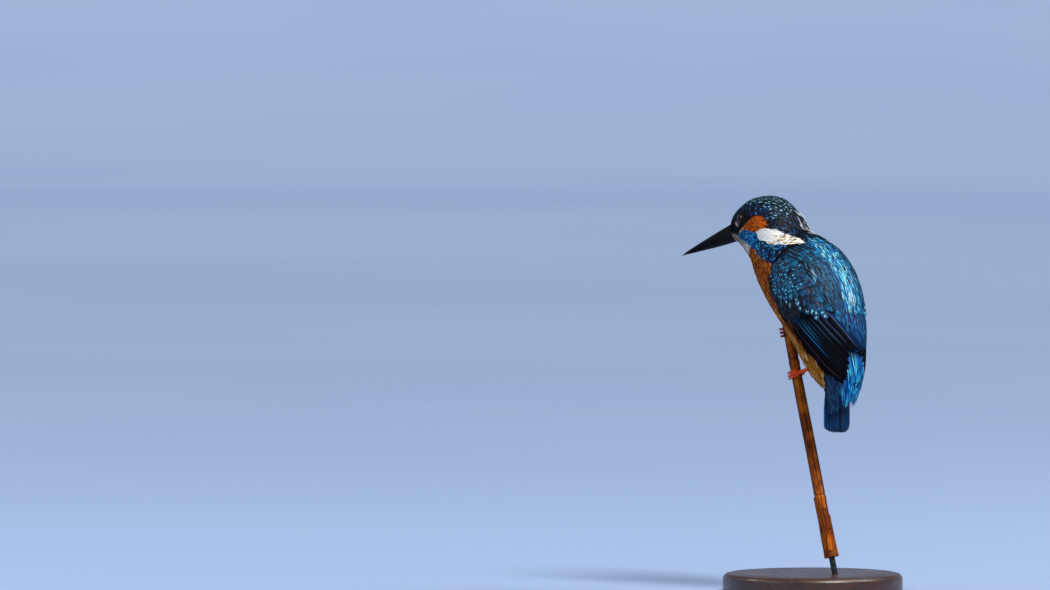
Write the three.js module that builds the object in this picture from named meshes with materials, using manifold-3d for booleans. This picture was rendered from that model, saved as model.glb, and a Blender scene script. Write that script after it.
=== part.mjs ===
// A common kingfisher at life size, clinging to a cut length of reed that a plain display stand holds up.
// Millimetres. +Z is up, +X is the bird's left, and it faces -Y. The origin is the middle of the base's
// underside.
import * as THREE from "three";
import { mergeVertices } from "three/addons/utils/BufferGeometryUtils.js";
import Module from "manifold-3d";

const wasm = await Module();
wasm.setup();

// ---------- driving dimensions ----------

const GAP = 0.3; // clearance between neighbouring pieces
const BODY_SIDES = 28; // points round each ring of the body
const BACK_ROUNDNESS = 2.3; // exponents of the body's superelliptic rings
const FRONT_ROUNDNESS = 2.5;

// The body's outline at named stations, feathers and folded wings included: the back line and the front line
// as [y, z], and half the width there.
const STATIONS = [
  { name: "bill_base", back: [-46.6, 171.5], front: [-45.5, 164.5], half: 3.6 },
  { name: "lores", back: [-46.2, 175.0], front: [-43.8, 163.2], half: 6.6 },
  { name: "forehead", back: [-42.5, 180.4], front: [-41.8, 161.6], half: 9.4 },
  { name: "eyes", back: [-34.0, 184.8], front: [-39.2, 159.6], half: 11.6 },
  { name: "ears", back: [-23.0, 184.4], front: [-36.4, 156.8], half: 13.4 },
  { name: "nape", back: [-13.0, 177.5], front: [-33.6, 153.4], half: 14.3 },
  { name: "hindneck", back: [-8.6, 170.0], front: [-31.2, 149.6], half: 15.7 },
  { name: "shoulders", back: [1.5, 165.2], front: [-28.2, 145.2], half: 18.2 },
  { name: "mantle", back: [13.0, 156.5], front: [-23.4, 139.2], half: 19.8 },
  { name: "back", back: [21.2, 144.7], front: [-17.0, 132.0], half: 20.2 },
  { name: "belly", back: [26.0, 130.6], front: [-9.3, 123.8], half: 19.2 },
  { name: "flanks", back: [28.4, 117.0], front: [-2.3, 114.0], half: 16.7 },
  { name: "rump", back: [28.9, 105.0], front: [5.0, 102.6], half: 12.7 },
  { name: "vent", back: [27.2, 95.5], front: [11.6, 95.3], half: 9.8 },
  { name: "covert_tips", back: [23.2, 88.0], front: [15.2, 88.5], half: 8.2 },
];

const HEAD_TURN = THREE.MathUtils.degToRad(8); // the head looks a little to its left
const NECK_PIVOT = new THREE.Vector2(0, -16);

const BILL_LENGTH = 36.5;
const BILL_PITCH = THREE.MathUtils.degToRad(18.6);
const BILL_DEPTH = 7.2;
const BILL_WIDTH = 6.8;

const EYE_RADIUS = 3.4;
const EYE_DEPTH = 2.4; // how far the eyeball's middle lies under the skin

const TAIL_HALF_WIDTH = 7.9;
const TAIL_FEATHERS = 12;
const TAIL_THICKNESS = 1.3;
const TAIL_TOP_Z = 100;
const TAIL_TIP_Z = 75.2;
const TAIL_Y = 18.1;

const WING_BED = 2.5; // how deep the folded wings and the mantle are let into the body

const REED_RADIUS_TOP = 2.3;
const REED_RADIUS_FOOT = 2.7;
const REED_TOP = new THREE.Vector3(4.0, -13.5, 124.8);
const REED_FOOT = new THREE.Vector3(-0.9, 12.0, 17);
const REED_BORE = 11; // depth of the hole in the reed's cut foot, for the rod

const BASE_RADIUS = 42;
const BASE_HEIGHT = 9;
const ROD_RADIUS = 1.4;
const ROD_SINK = 5; // how far the rod goes down into the base

// ---------- colours ----------

const finish = (color, roughness = 0.6, metalness = 0) =>
  new THREE.MeshStandardMaterial({ color, roughness, metalness });

const AZURE = finish(0x1590c8, 0.45);
const TEAL = finish(0x0e4f6e, 0.5);
const NAVY = finish(0x0b1f38, 0.5);
const RUST = finish(0xb4581a, 0.8);
const HORN = finish(0x141214, 0.3);
const CORAL = finish(0xb8361c, 0.5);
const EYE = finish(0x0a0706, 0.05);
const REED = finish(0x8a5a1e, 0.7);
const WOOD = finish(0x3a2618, 0.5);
const STEEL = finish(0x2c2c2e, 0.35, 0.9);

// ---------- solids ----------

// A closed geometry as a manifold-3d solid; a matrix places it first.
function toSolid(geometry, matrix = new THREE.Matrix4()) {
  const bare = geometry.clone().applyMatrix4(matrix);
  for (const name of Object.keys(bare.attributes)) {
    if (name !== "position") bare.deleteAttribute(name);
  }
  const merged = mergeVertices(bare, 1e-4);
  return new wasm.Manifold(
    new wasm.Mesh({
      numProp: 3,
      vertProperties: new Float32Array(merged.attributes.position.array),
      triVerts: new Uint32Array(merged.index.array),
    }),
  );
}

// A manifold-3d solid as a geometry.
function toGeometry(solid) {
  const mesh = solid.getMesh();
  const position = new Float32Array(mesh.numVert * 3);
  for (let i = 0; i < mesh.numVert; i++) {
    position.set(mesh.vertProperties.subarray(i * mesh.numProp, i * mesh.numProp + 3), i * 3);
  }
  const geometry = new THREE.BufferGeometry();
  geometry.setAttribute("position", new THREE.BufferAttribute(position, 3));
  geometry.setIndex(new THREE.BufferAttribute(mesh.triVerts, 1));
  geometry.computeVertexNormals();
  return geometry;
}

function geometryOf(points, triangles) {
  const geometry = new THREE.BufferGeometry().setFromPoints(points);
  geometry.setIndex(triangles);
  geometry.computeVertexNormals();
  return geometry;
}

// A solid through closed rings of points, with a flat fan over each end.
function loft(rings) {
  const sides = rings[0].length;
  const points = rings.flat();
  const triangles = [];
  for (let r = 0; r < rings.length - 1; r++) {
    for (let i = 0; i < sides; i++) {
      const a = r * sides + i;
      const b = r * sides + ((i + 1) % sides);
      triangles.push(a, b, a + sides, b, b + sides, a + sides);
    }
  }
  const middle = (ring) =>
    ring.reduce((sum, p) => sum.add(p), new THREE.Vector3()).divideScalar(sides);
  const first = points.push(middle(rings[0])) - 1;
  const last = points.push(middle(rings.at(-1))) - 1;
  const lastRing = (rings.length - 1) * sides;
  for (let i = 0; i < sides; i++) {
    const next = (i + 1) % sides;
    triangles.push(first, next, i);
    triangles.push(last, lastRing + i, lastRing + next);
  }
  return outwards(geometryOf(points, triangles));
}

// A solid slab between an outer and an inner grid of points, each a function of two shares from 0 to 1.
function slab(rows, columns, outer, inner) {
  const points = [];
  for (const surface of [outer, inner]) {
    for (let r = 0; r <= rows; r++) {
      for (let c = 0; c <= columns; c++) points.push(surface(r / rows, c / columns));
    }
  }
  const layer = (rows + 1) * (columns + 1);
  const at = (r, c) => r * (columns + 1) + c;
  const triangles = [];
  const quad = (a, b, c, d) => triangles.push(a, b, c, a, c, d);
  for (let r = 0; r < rows; r++) {
    for (let c = 0; c < columns; c++) {
      quad(at(r, c), at(r, c + 1), at(r + 1, c + 1), at(r + 1, c));
      quad(
        layer + at(r, c),
        layer + at(r + 1, c),
        layer + at(r + 1, c + 1),
        layer + at(r, c + 1),
      );
    }
    quad(at(r + 1, 0), layer + at(r + 1, 0), layer + at(r, 0), at(r, 0));
    quad(
      at(r, columns),
      layer + at(r, columns),
      layer + at(r + 1, columns),
      at(r + 1, columns),
    );
  }
  for (let c = 0; c < columns; c++) {
    quad(at(0, c), layer + at(0, c), layer + at(0, c + 1), at(0, c + 1));
    quad(
      at(rows, c + 1),
      layer + at(rows, c + 1),
      layer + at(rows, c),
      at(rows, c),
    );
  }
  return outwards(geometryOf(points, triangles));
}

// Turns a closed geometry's faces outwards if they point in.
function outwards(geometry) {
  const p = geometry.attributes.position;
  const index = geometry.index.array;
  const [a, b, c] = [new THREE.Vector3(), new THREE.Vector3(), new THREE.Vector3()];
  let volume = 0;
  for (let i = 0; i < index.length; i += 3) {
    a.fromBufferAttribute(p, index[i]);
    b.fromBufferAttribute(p, index[i + 1]);
    c.fromBufferAttribute(p, index[i + 2]);
    volume += a.dot(b.cross(c));
  }
  if (volume < 0) {
    for (let i = 0; i < index.length; i += 3) {
      [index[i + 1], index[i + 2]] = [index[i + 2], index[i + 1]];
    }
    geometry.computeVertexNormals();
  }
  return geometry;
}

// A round limb along a curve, its radius a function of the share along it.
function limb(curve, radius, steps = 8, sides = 8) {
  const rings = [];
  const side = new THREE.Vector3(1, 0, 0);
  for (let s = 0; s <= steps; s++) {
    const share = s / steps;
    const tangent = curve.getTangent(share);
    side.addScaledVector(tangent, -side.dot(tangent)).normalize();
    const across = tangent.clone().cross(side);
    const middle = curve.getPoint(share);
    rings.push(
      Array.from({ length: sides }, (_, i) => {
        const angle = (2 * Math.PI * i) / sides;
        return middle
          .clone()
          .addScaledVector(side, radius(share) * Math.cos(angle))
          .addScaledVector(across, radius(share) * Math.sin(angle));
      }),
    );
  }
  return loft(rings);
}

// ---------- the body's surface ----------

const stationIndex = (name) => STATIONS.findIndex((s) => s.name === name);
const LAST_STATION = STATIONS.length - 1;

const curveThrough = (points) => new THREE.CatmullRomCurve3(points, false, "catmullrom");
const backLine = curveThrough(STATIONS.map((s) => new THREE.Vector3(0, ...s.back)));
const frontLine = curveThrough(STATIONS.map((s) => new THREE.Vector3(0, ...s.front)));
const halfWidth = curveThrough(STATIONS.map((s) => new THREE.Vector3(s.half, 0, 0)));

// Turns a point with the neck; a share of 1 is the head's full turn.
function turned(point, share = 1) {
  const angle = HEAD_TURN * share;
  const x = point.x - NECK_PIVOT.x;
  const y = point.y - NECK_PIVOT.y;
  return new THREE.Vector3(
    NECK_PIVOT.x + x * Math.cos(angle) - y * Math.sin(angle),
    NECK_PIVOT.y + x * Math.sin(angle) + y * Math.cos(angle),
    point.z,
  );
}

const turnShare = (u) =>
  1 - THREE.MathUtils.smoothstep(u, stationIndex("nape") - 0.5, stationIndex("mantle"));

const signedPower = (value, power) => Math.sign(value) * Math.abs(value) ** power;

// A point of the body: u counts stations, angle 0 is the back line, a right angle the left side and pi the
// front line. rise lifts it off the surface, and tailwards moves it square to its ring, towards the tail.
function bodyPoint(u, angle, rise = 0, tailwards = 0) {
  const share = THREE.MathUtils.clamp(u / LAST_STATION, 0, 1);
  const back = backLine.getPoint(share);
  const front = frontLine.getPoint(share);
  const half = halfWidth.getPoint(share).x;
  const up = back.clone().sub(front).multiplyScalar(0.5);
  const depth = up.length();
  up.normalize();
  const roundness = Math.cos(angle) > 0 ? BACK_ROUNDNESS : FRONT_ROUNDNESS;
  const high = depth * signedPower(Math.cos(angle), 2 / roundness);
  const wide = half * signedPower(Math.sin(angle), 2 / roundness);
  const normal = new THREE.Vector2(
    signedPower(wide / half, roundness - 1) / half,
    signedPower(high / depth, roundness - 1) / depth,
  ).normalize();
  const square = up.clone().cross(new THREE.Vector3(1, 0, 0));
  const point = back
    .add(front)
    .multiplyScalar(0.5)
    .addScaledVector(up, high + rise * normal.y)
    .addScaledVector(square, tailwards)
    .add(new THREE.Vector3(wide + rise * normal.x, 0, 0));
  return turned(point, turnShare(u));
}

// A length of the body between two stations, held off its neighbours at each cut end. sunk(u, angle) lowers
// its surface where something lies over it.
function bodyLength(from, to, rings, sunk = () => 0) {
  const made = [];
  for (let r = 0; r <= rings; r++) {
    const u = THREE.MathUtils.lerp(from, to, r / rings);
    const inset = (r === 0 ? 1 : r === rings ? -1 : 0) * (GAP / 2);
    made.push(
      Array.from({ length: BODY_SIDES }, (_, i) => {
        const angle = (2 * Math.PI * i) / BODY_SIDES;
        return bodyPoint(u, angle, -sunk(u, angle), inset);
      }),
    );
  }
  return loft(made);
}

// ---------- the folded wings' places on the body ----------

const degrees = THREE.MathUtils.degToRad;

// An edge over the body through points given as [station, angle from the back line in degrees].
function edge(...points) {
  const curve = curveThrough(points.map(([u, angle]) => new THREE.Vector3(u, degrees(angle), 0)));
  return (share) => curve.getPoint(share);
}

const WING_START = 7.0;
const WING_TIP = 12.58;
const TERTIAL_TIPS = 11.33;

// The wing's outer border: down the front of the coverts, then along the longest primary to the tip.
const covertFront = edge([7.05, 72], [7.35, 86], [8.0, 99], [8.7, 108], [9.4, 108], [9.95, 101]);
const primaryFront = edge([10.0, 100], [10.7, 91], [11.25, 79], [11.8, 66], [12.3, 48], [WING_TIP, 34]);
// Between the coverts and the scapulars, and between the primaries and the tertials.
const covertBack = edge([7.05, 62], [7.5, 53], [8.0, 47], [8.7, 43], [9.4, 40], [10.0, 36]);
const primaryBack = edge([10.05, 36], [10.5, 28], [10.9, 20], [11.3, 17], [11.9, 21], [12.53, 29]);
// The inner border, beside the mantle and over the lower back.
const scapularBack = edge([WING_START, 22], [7.5, 15], [8.0, 12], [8.7, 10.5], [9.4, 10], [10.0, 8.5]);
const tertialBack = edge([10.05, 8.3], [10.5, 5], [10.9, 2.8], [TERTIAL_TIPS, 1.2]);
const tertialFront = edge([10.08, 35], [10.5, 27], [10.9, 19], [TERTIAL_TIPS, 15.5]);

// The right wing's tip lies a little lower down the flank than the left's.
const spreadOf = (side, u) => (side < 0 ? degrees(13) * THREE.MathUtils.smoothstep(u, 11.2, 12.5) : 0);

// How deep the body is sunk under the wings: all of the bed at the shoulders, little at the tips.
const bedDepth = (u) => WING_BED * (1 - 0.55 * THREE.MathUtils.smoothstep(u, TERTIAL_TIPS, 12.4));

// The angle of a border of the wing at a station, from the point of the edge nearest it.
function angleAt(edges, u) {
  let best = edges[0](0);
  for (const line of edges) {
    for (let i = 0; i <= 24; i++) {
      const spot = line(i / 24);
      if (Math.abs(spot.x - u) < Math.abs(best.x - u)) best = spot;
    }
  }
  return best.y;
}

// How much the body is lowered at a point, so that the wings and the mantle lie flush in it.
function bed(u, angle) {
  const side = angle > Math.PI ? -1 : 1;
  const away = side > 0 ? angle : 2 * Math.PI - angle;
  const margin = degrees(12);
  const fade = degrees(14);
  const front = angleAt([covertFront, primaryFront], u) + spreadOf(side, u) + margin;
  const outer = 1 - THREE.MathUtils.smoothstep(away, front, front + fade);
  const back = angleAt([primaryBack], u) + spreadOf(side, u) - margin;
  const open = THREE.MathUtils.smoothstep(u, TERTIAL_TIPS + 0.1, TERTIAL_TIPS + 0.5);
  const inner = 1 - open * (1 - THREE.MathUtils.smoothstep(away, back - fade, back));
  const start = THREE.MathUtils.smoothstep(u, WING_START - 0.35, WING_START - 0.2);
  const stop = 1 - THREE.MathUtils.smoothstep(u, WING_TIP + 0.25, WING_TIP + 0.7);
  return bedDepth(u) * outer * inner * start * stop;
}

// ---------- the object ----------

const kingfisher = new THREE.Group();

// Adds a named mesh to a group, at a place in it.
function add(group, name, geometry, material, position = new THREE.Vector3()) {
  const mesh = new THREE.Mesh(geometry, material);
  mesh.name = name;
  mesh.position.copy(position);
  group.add(mesh);
  return mesh;
}

const SIDES = [
  { name: "left", sign: 1 },
  { name: "right", sign: -1 },
];

// ---------- head, eyes and neck ----------

const EYE_STATION = stationIndex("eyes") + 0.04;
const EYE_ANGLE = degrees(83);

const NAPE_CUT = stationIndex("nape") + 0.4;
const SHOULDER_CUT = WING_START - 0.3;
const BELLY_CUT = stationIndex("belly") - 0.1;

const eyePlace = (side) => bodyPoint(EYE_STATION, side * EYE_ANGLE, -EYE_DEPTH);
const eyeBall = (radius) => new THREE.SphereGeometry(radius, 16, 10);

// The head, with a socket round each eyeball.
function head() {
  let solid = toSolid(bodyLength(0, NAPE_CUT, 11));
  for (const side of SIDES) {
    const place = new THREE.Matrix4().setPosition(eyePlace(side.sign));
    solid = solid.subtract(toSolid(eyeBall(EYE_RADIUS + GAP), place));
  }
  return toGeometry(solid);
}

add(kingfisher, "head", head(), NAVY);
for (const side of SIDES) {
  add(kingfisher, `eye_${side.name}`, eyeBall(EYE_RADIUS), EYE, eyePlace(side.sign));
}
add(kingfisher, "neck", bodyLength(NAPE_CUT, SHOULDER_CUT, 3), RUST);

// ---------- bill ----------

const BILL_TAPER = 1.12; // exponent of the bill's narrowing: above 1, the culmen bows out a little
const BILL_TIP = 0.03; // share of the base's size left at the tip

// One mandible along -Y: half an ellipse over a flat gape. over is +1 for the upper one.
function mandible(over, length, depth, width) {
  const RINGS = 9;
  const POINTS = 11;
  const rings = [];
  for (let r = 0; r <= RINGS; r++) {
    const share = r / RINGS;
    const taper = Math.max(1 - share ** BILL_TAPER, BILL_TIP);
    rings.push(
      Array.from({ length: POINTS }, (_, i) => {
        const angle = (Math.PI * i) / (POINTS - 1);
        const x = (width / 2) * taper * Math.cos(angle);
        const z = depth * taper ** 0.92 * Math.sin(angle) ** 0.85;
        return new THREE.Vector3(x, -length * share, over * (z + GAP / 2));
      }),
    );
  }
  return loft(rings);
}

const bill = new THREE.Group();
bill.position.copy(bodyPoint(0, 0, 0, -3 * GAP)).lerp(bodyPoint(0, Math.PI, 0, -3 * GAP), 0.5);
bill.rotation.set(BILL_PITCH, 0, HEAD_TURN, "ZYX");
kingfisher.add(bill);
add(bill, "bill_upper", mandible(1, BILL_LENGTH, BILL_DEPTH * 0.53, BILL_WIDTH), HORN);
add(bill, "bill_lower", mandible(-1, BILL_LENGTH * 0.985, BILL_DEPTH * 0.45, BILL_WIDTH * 0.94), HORN);

// ---------- reed and stand ----------

// The reed's own frame: +Z up its axis from the middle of its cut foot.
const reedAxis = REED_TOP.clone().sub(REED_FOOT).normalize();
const REED_LENGTH = REED_TOP.distanceTo(REED_FOOT);
const perch = new THREE.Group();
perch.position.copy(REED_FOOT);
perch.quaternion.setFromUnitVectors(new THREE.Vector3(0, 0, 1), reedAxis);
perch.updateMatrix();
kingfisher.add(perch);

const reedRadius = (height) =>
  THREE.MathUtils.lerp(REED_RADIUS_FOOT, REED_RADIUS_TOP, height / REED_LENGTH);

// A solid turned about Z from a profile of [radius, z] that starts and ends on the axis.
const turnedProfile = (profile, sides) =>
  new THREE.LatheGeometry(
    profile.map(([radius, z]) => new THREE.Vector2(radius, z)),
    sides,
  ).rotateX(Math.PI / 2);

const rodOf = (radius, from, to) =>
  turnedProfile([[0, from], [radius, from], [radius, to], [0, to]], 16);

// The reed: a slow taper with two raised joints, and a bore in its foot for the rod.
function reed() {
  const JOINTS = [28, 93];
  const SWELL = 0.34;
  const profile = [[0, 0], [reedRadius(0), 0]];
  for (const joint of JOINTS) {
    for (const [step, swell] of [[-2, 0], [-0.7, SWELL], [0.7, SWELL], [2, 0]]) {
      profile.push([reedRadius(joint + step) + swell, joint + step]);
    }
  }
  profile.push([reedRadius(REED_LENGTH), REED_LENGTH], [0, REED_LENGTH]);
  const bore = toSolid(rodOf(ROD_RADIUS + GAP, -1, REED_BORE));
  return toGeometry(toSolid(turnedProfile(profile, 14)).subtract(bore));
}

const rodFoot = (BASE_HEIGHT - ROD_SINK - REED_FOOT.z) / reedAxis.z;

// The base: a flat disc with an eased rim, bored for the leaning rod.
function base() {
  const disc = turnedProfile(
    [
      [0, 0],
      [BASE_RADIUS - 0.6, 0],
      [BASE_RADIUS, 0.6],
      [BASE_RADIUS, BASE_HEIGHT - 2.4],
      [BASE_RADIUS - 0.7, BASE_HEIGHT - 0.7],
      [BASE_RADIUS - 2.4, BASE_HEIGHT],
      [0, BASE_HEIGHT],
    ],
    40,
  );
  const bore = toSolid(rodOf(ROD_RADIUS + GAP, rodFoot - GAP, 0), perch.matrix);
  return toGeometry(toSolid(disc).subtract(bore));
}

add(perch, "perch_reed", reed(), REED);
add(perch, "stand_rod", rodOf(ROD_RADIUS, rodFoot, REED_BORE - GAP), STEEL);
add(kingfisher, "stand_base", base(), WOOD);

// ---------- legs and feet ----------

const TOE_RADIUS = 0.78;
const TARSUS_RADIUS = 0.98;
const CLAW_RADIUS = 0.52;
const CLAW_ARC = 38; // degrees round the reed that a claw reaches past its toe
const CLAW_SETBACK = 11; // degrees round the reed between a toe's end and its claw's root

// Each foot in the reed's frame. Angles round the reed are in degrees from the bird's left towards its back,
// heel is where the foot meets the reed, and grip is its height up the reed. A toe runs from the heel to the
// angle "to"; it leaves the heel "rise" higher and comes down by "drop" along its length.
const FEET = [
  {
    side: "left",
    ankle: new THREE.Vector3(6.6, 7.2, 107.6), // in the object's frame, inside the belly's feathers
    heel: 82,
    grip: 87.7,
    toes: [
      { name: "middle", to: -62, drop: 0.4, rise: 0 },
      { name: "outer", to: -44, drop: 1.1, rise: -1.4 },
      { name: "inner", to: -26, drop: -0.1, rise: 1.4 },
      { name: "hind", to: 214, drop: 0.7, rise: -0.2 },
    ],
  },
  {
    side: "right",
    ankle: new THREE.Vector3(-4.6, -2.6, 118.6),
    heel: 150,
    grip: 107.9,
    toes: [
      { name: "middle", to: 320, drop: 0.1, rise: 0 },
      { name: "outer", to: 312, drop: 0.8, rise: -1.7 },
      { name: "inner", to: 292, drop: -0.6, rise: 1.65 },
      { name: "hind", to: 40, drop: 0.5, rise: -0.2 },
    ],
  },
];

const besideReed = (height, off, angle) =>
  new THREE.Vector3(off * Math.cos(degrees(angle)), off * Math.sin(degrees(angle)), height);

// The line of one toe round the reed between two angles. off(share, height) is its distance from the axis,
// where share is 0 at the heel and 1 at the toe's end.
function toeLine(foot, toe, from, to, off) {
  const STEPS = 7;
  return curveThrough(
    Array.from({ length: STEPS + 1 }, (_, i) => {
      const angle = THREE.MathUtils.lerp(from, to, i / STEPS);
      const share = (angle - foot.heel) / (toe.to - foot.heel);
      const height = foot.grip + toe.rise * Math.min(1, 3 * share) - toe.drop * share;
      return besideReed(height, off(share, height), angle);
    }),
  );
}

const TOE_CLEARANCE = GAP + 0.15;
const KNUCKLE_LIFT = 0.7; // how much further off the reed a toe is at the heel

const claspOff = (share, height) =>
  reedRadius(height) + TOE_CLEARANCE + TOE_RADIUS + KNUCKLE_LIFT * Math.max(0, 1 - 5 * share);

// The line of the tarsus, from inside the belly's feathers to the reed; deeper starts it further in.
function tarsusLine(foot, deeper = 0) {
  const heel = besideReed(foot.grip, claspOff(0, foot.grip), foot.heel);
  const ankle = foot.ankle.clone().applyMatrix4(perch.matrix.clone().invert());
  const root = ankle.clone().lerp(heel, -deeper);
  const sag = ankle.clone().lerp(heel, 0.55).add(new THREE.Vector3(0, 0, -0.7));
  return curveThrough([root, sag, heel]);
}

// Tarsus and toes as one solid, each toe swelling a little at its joints.
function footSolid(foot) {
  let solid = toSolid(limb(tarsusLine(foot), (s) => TARSUS_RADIUS * (1 - 0.08 * s), 4, 9));
  for (const toe of foot.toes) {
    const line = toeLine(foot, toe, foot.heel, toe.to, claspOff);
    const knuckle = (s) => TOE_RADIUS * (1 - 0.12 * s + 0.06 * Math.cos(6 * Math.PI * s));
    solid = solid.add(toSolid(limb(line, knuckle, 8, 7)));
  }
  return toGeometry(solid);
}

// A claw: past the toe's end with a gap, arching out and then hooking in towards the reed.
function claw(foot, toe) {
  const turn = Math.sign(toe.to - foot.heel);
  const start = toe.to + turn * CLAW_SETBACK;
  const end = start + turn * CLAW_ARC;
  const off = (share, height) => {
    const root = (start - foot.heel) / (toe.to - foot.heel);
    const tip = (end - foot.heel) / (toe.to - foot.heel);
    const past = THREE.MathUtils.clamp((share - root) / (tip - root), 0, 1);
    const arch = 0.35 * Math.sin(Math.PI * past) - 0.45 * past ** 2;
    return reedRadius(height) + TOE_CLEARANCE + TOE_RADIUS + 0.1 + arch;
  };
  return limb(toeLine(foot, toe, start, end, off), (s) => CLAW_RADIUS * (1 - 0.8 * s ** 1.1), 4, 6);
}

for (const foot of FEET) {
  add(perch, `foot_${foot.side}`, footSolid(foot), CORAL);
  for (const toe of foot.toes) add(perch, `claw_${foot.side}_${toe.name}`, claw(foot, toe), HORN);
}

// ---------- trunk, hindquarters and tail ----------

const TAIL_NARROWING = 0.74; // the tail's width at its root, as a share of its width near the tip
const FEATHER_PAIRS = TAIL_FEATHERS / 2;

// The tail's feathers as one closed fan, roofed over the middle pair and stepped outwards from it; margin
// swells it, to cut its slot.
function tail(margin = 0) {
  const half = TAIL_HALF_WIDTH + margin;
  const surface = (lift) => (along, across) => {
    const x = (2 * across - 1) * half;
    const out = Math.abs(x) / half;
    const step = Math.floor(out * FEATHER_PAIRS * 0.999) / FEATHER_PAIRS;
    const scallop = 0.5 * Math.abs(Math.sin(out * FEATHER_PAIRS * Math.PI)) ** 0.5;
    const tip = TAIL_TIP_Z + 2.4 * out ** 4 + 0.5 - scallop - margin;
    const z = THREE.MathUtils.lerp(TAIL_TOP_Z + margin, tip, along);
    const flare = THREE.MathUtils.lerp(TAIL_NARROWING, 1, Math.min(along * 1.6, 1));
    return new THREE.Vector3(x * flare, TAIL_Y - 1.2 * out ** 2 - 0.5 * step + lift, z);
  };
  const lift = TAIL_THICKNESS / 2 + margin;
  return slab(4, 2 * TAIL_FEATHERS, surface(lift), surface(-lift));
}

let trunk = toSolid(bodyLength(SHOULDER_CUT, BELLY_CUT, 8, bed));
let hindquarters = toSolid(bodyLength(BELLY_CUT, LAST_STATION, 11, bed));
hindquarters = hindquarters.subtract(toSolid(tail(1.5 * GAP)));
for (const foot of FEET) {
  const hollow = limb(tarsusLine(foot, 0.08), () => TARSUS_RADIUS + 1.8 * GAP, 4, 9);
  const socket = toSolid(hollow, perch.matrix);
  trunk = trunk.subtract(socket);
  hindquarters = hindquarters.subtract(socket);
}
add(kingfisher, "trunk", toGeometry(trunk), RUST);
add(kingfisher, "hindquarters", toGeometry(hindquarters), AZURE);
add(kingfisher, "tail", tail(), NAVY);

// ---------- wings and mantle ----------

// A feathered part over the body between two edges, let into the bed. thickness(along, across) is its depth.
function cover(side, front, back, thickness, rows, columns) {
  const surface = (lift) => (along, across) => {
    const spot = front(along).lerp(back(along), across);
    const angle = spot.y + spreadOf(side, spot.x);
    return bodyPoint(spot.x, side * angle, -bedDepth(spot.x) + 2.4 * GAP + lift(along, across));
  };
  return slab(rows, columns, surface(thickness), surface(() => 0));
}

// An edge moved a share of the way to another, to leave a gap beside its neighbour.
const inFrom = (edgeLine, other, share) => (along) => edgeLine(along).lerp(other(along), share);

// How full a part is across its width: none at both edges, all along its middle.
const dome = (share, fullness) =>
  Math.min(1, fullness * Math.sqrt(Math.max(1 - (2 * share - 1) ** 2, 0)));
const swelling = (share) => Math.min(1, 4 * share + 0.3);
// Feathers in steps, each one's edge over the next.
const stepped = (share, count) => 1 - ((share * count) % 1);

const QUILLS = 8;
const TERTIALS = 3;
const WING_PARTS = [
  {
    name: "coverts",
    front: covertFront,
    back: inFrom(covertBack, covertFront, 0.03),
    thickness: (s, t) => 1.0 + 1.15 * dome(t, 1.7) * swelling(s),
    grid: [9, 8],
    material: TEAL,
  },
  {
    name: "scapulars",
    front: inFrom(covertBack, scapularBack, 0.02),
    back: scapularBack,
    thickness: (s, t) => 1.1 + 1.1 * dome(t, 1.8) * swelling(s),
    grid: [9, 5],
    material: TEAL,
  },
  {
    name: "primaries",
    front: primaryFront,
    back: inFrom(primaryBack, primaryFront, 0.02),
    thickness: (s, t) => 0.75 + 0.75 * (1 - s) * dome(t, 2) + 0.4 * stepped(t, QUILLS),
    grid: [8, QUILLS],
    material: NAVY,
  },
  {
    name: "tertials",
    front: inFrom(tertialFront, tertialBack, 0.02),
    back: tertialBack,
    thickness: (s, t) => 1.2 + 0.5 * dome(t, 2) + 0.35 * stepped(t, TERTIALS),
    grid: [5, 2 * TERTIALS],
    material: NAVY,
  },
];

for (const side of SIDES) {
  for (const part of WING_PARTS) {
    const geometry = cover(side.sign, part.front, part.back, part.thickness, ...part.grid);
    add(kingfisher, `wing_${side.name}_${part.name}`, geometry, part.material);
  }
}

// The mantle fills the back between the scapulars.
const MANTLE_SETBACK = degrees(1.6);
const mantleEdge = (side) => (along) => {
  const spot = scapularBack(along);
  return new THREE.Vector3(spot.x, side * (spot.y - MANTLE_SETBACK), 0);
};
const mantle = cover(1, mantleEdge(1), mantleEdge(-1), (s, t) => 1.7 + 0.3 * dome(t, 1), 9, 4);
add(kingfisher, "mantle", mantle, AZURE);

export default kingfisher;
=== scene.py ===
"""A common kingfisher at life size, clinging to a cut reed that a plain display stand holds up.

The body is one skin through named stations. Every feather is a thin vane or strand laid over it, so that
the plumage follows the same form as the skin. Sizes are in millimetres until a mesh is made from them, and
angles in degrees: +Z is up, +X is the bird's left, and it faces -Y.
"""

import logging
import math
from abc import ABC, abstractmethod
from collections.abc import Callable, Sequence
from dataclasses import dataclass, field, replace
from enum import IntEnum

import bpy
import numpy as np
from mathutils import Matrix, Vector


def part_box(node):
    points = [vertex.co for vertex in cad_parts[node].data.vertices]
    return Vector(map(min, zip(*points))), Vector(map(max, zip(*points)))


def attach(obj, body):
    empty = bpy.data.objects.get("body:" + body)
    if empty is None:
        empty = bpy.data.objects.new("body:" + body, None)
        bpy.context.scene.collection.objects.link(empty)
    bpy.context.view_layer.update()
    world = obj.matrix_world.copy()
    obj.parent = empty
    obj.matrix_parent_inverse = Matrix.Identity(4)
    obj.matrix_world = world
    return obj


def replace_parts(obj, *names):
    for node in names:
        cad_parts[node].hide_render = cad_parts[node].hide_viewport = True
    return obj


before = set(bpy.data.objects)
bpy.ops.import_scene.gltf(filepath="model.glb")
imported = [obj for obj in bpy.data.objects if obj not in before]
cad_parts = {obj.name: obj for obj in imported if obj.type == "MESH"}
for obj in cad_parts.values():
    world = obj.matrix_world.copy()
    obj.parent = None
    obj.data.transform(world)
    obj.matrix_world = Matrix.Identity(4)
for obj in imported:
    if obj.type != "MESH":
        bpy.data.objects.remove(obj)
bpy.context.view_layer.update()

MM = 0.001
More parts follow.
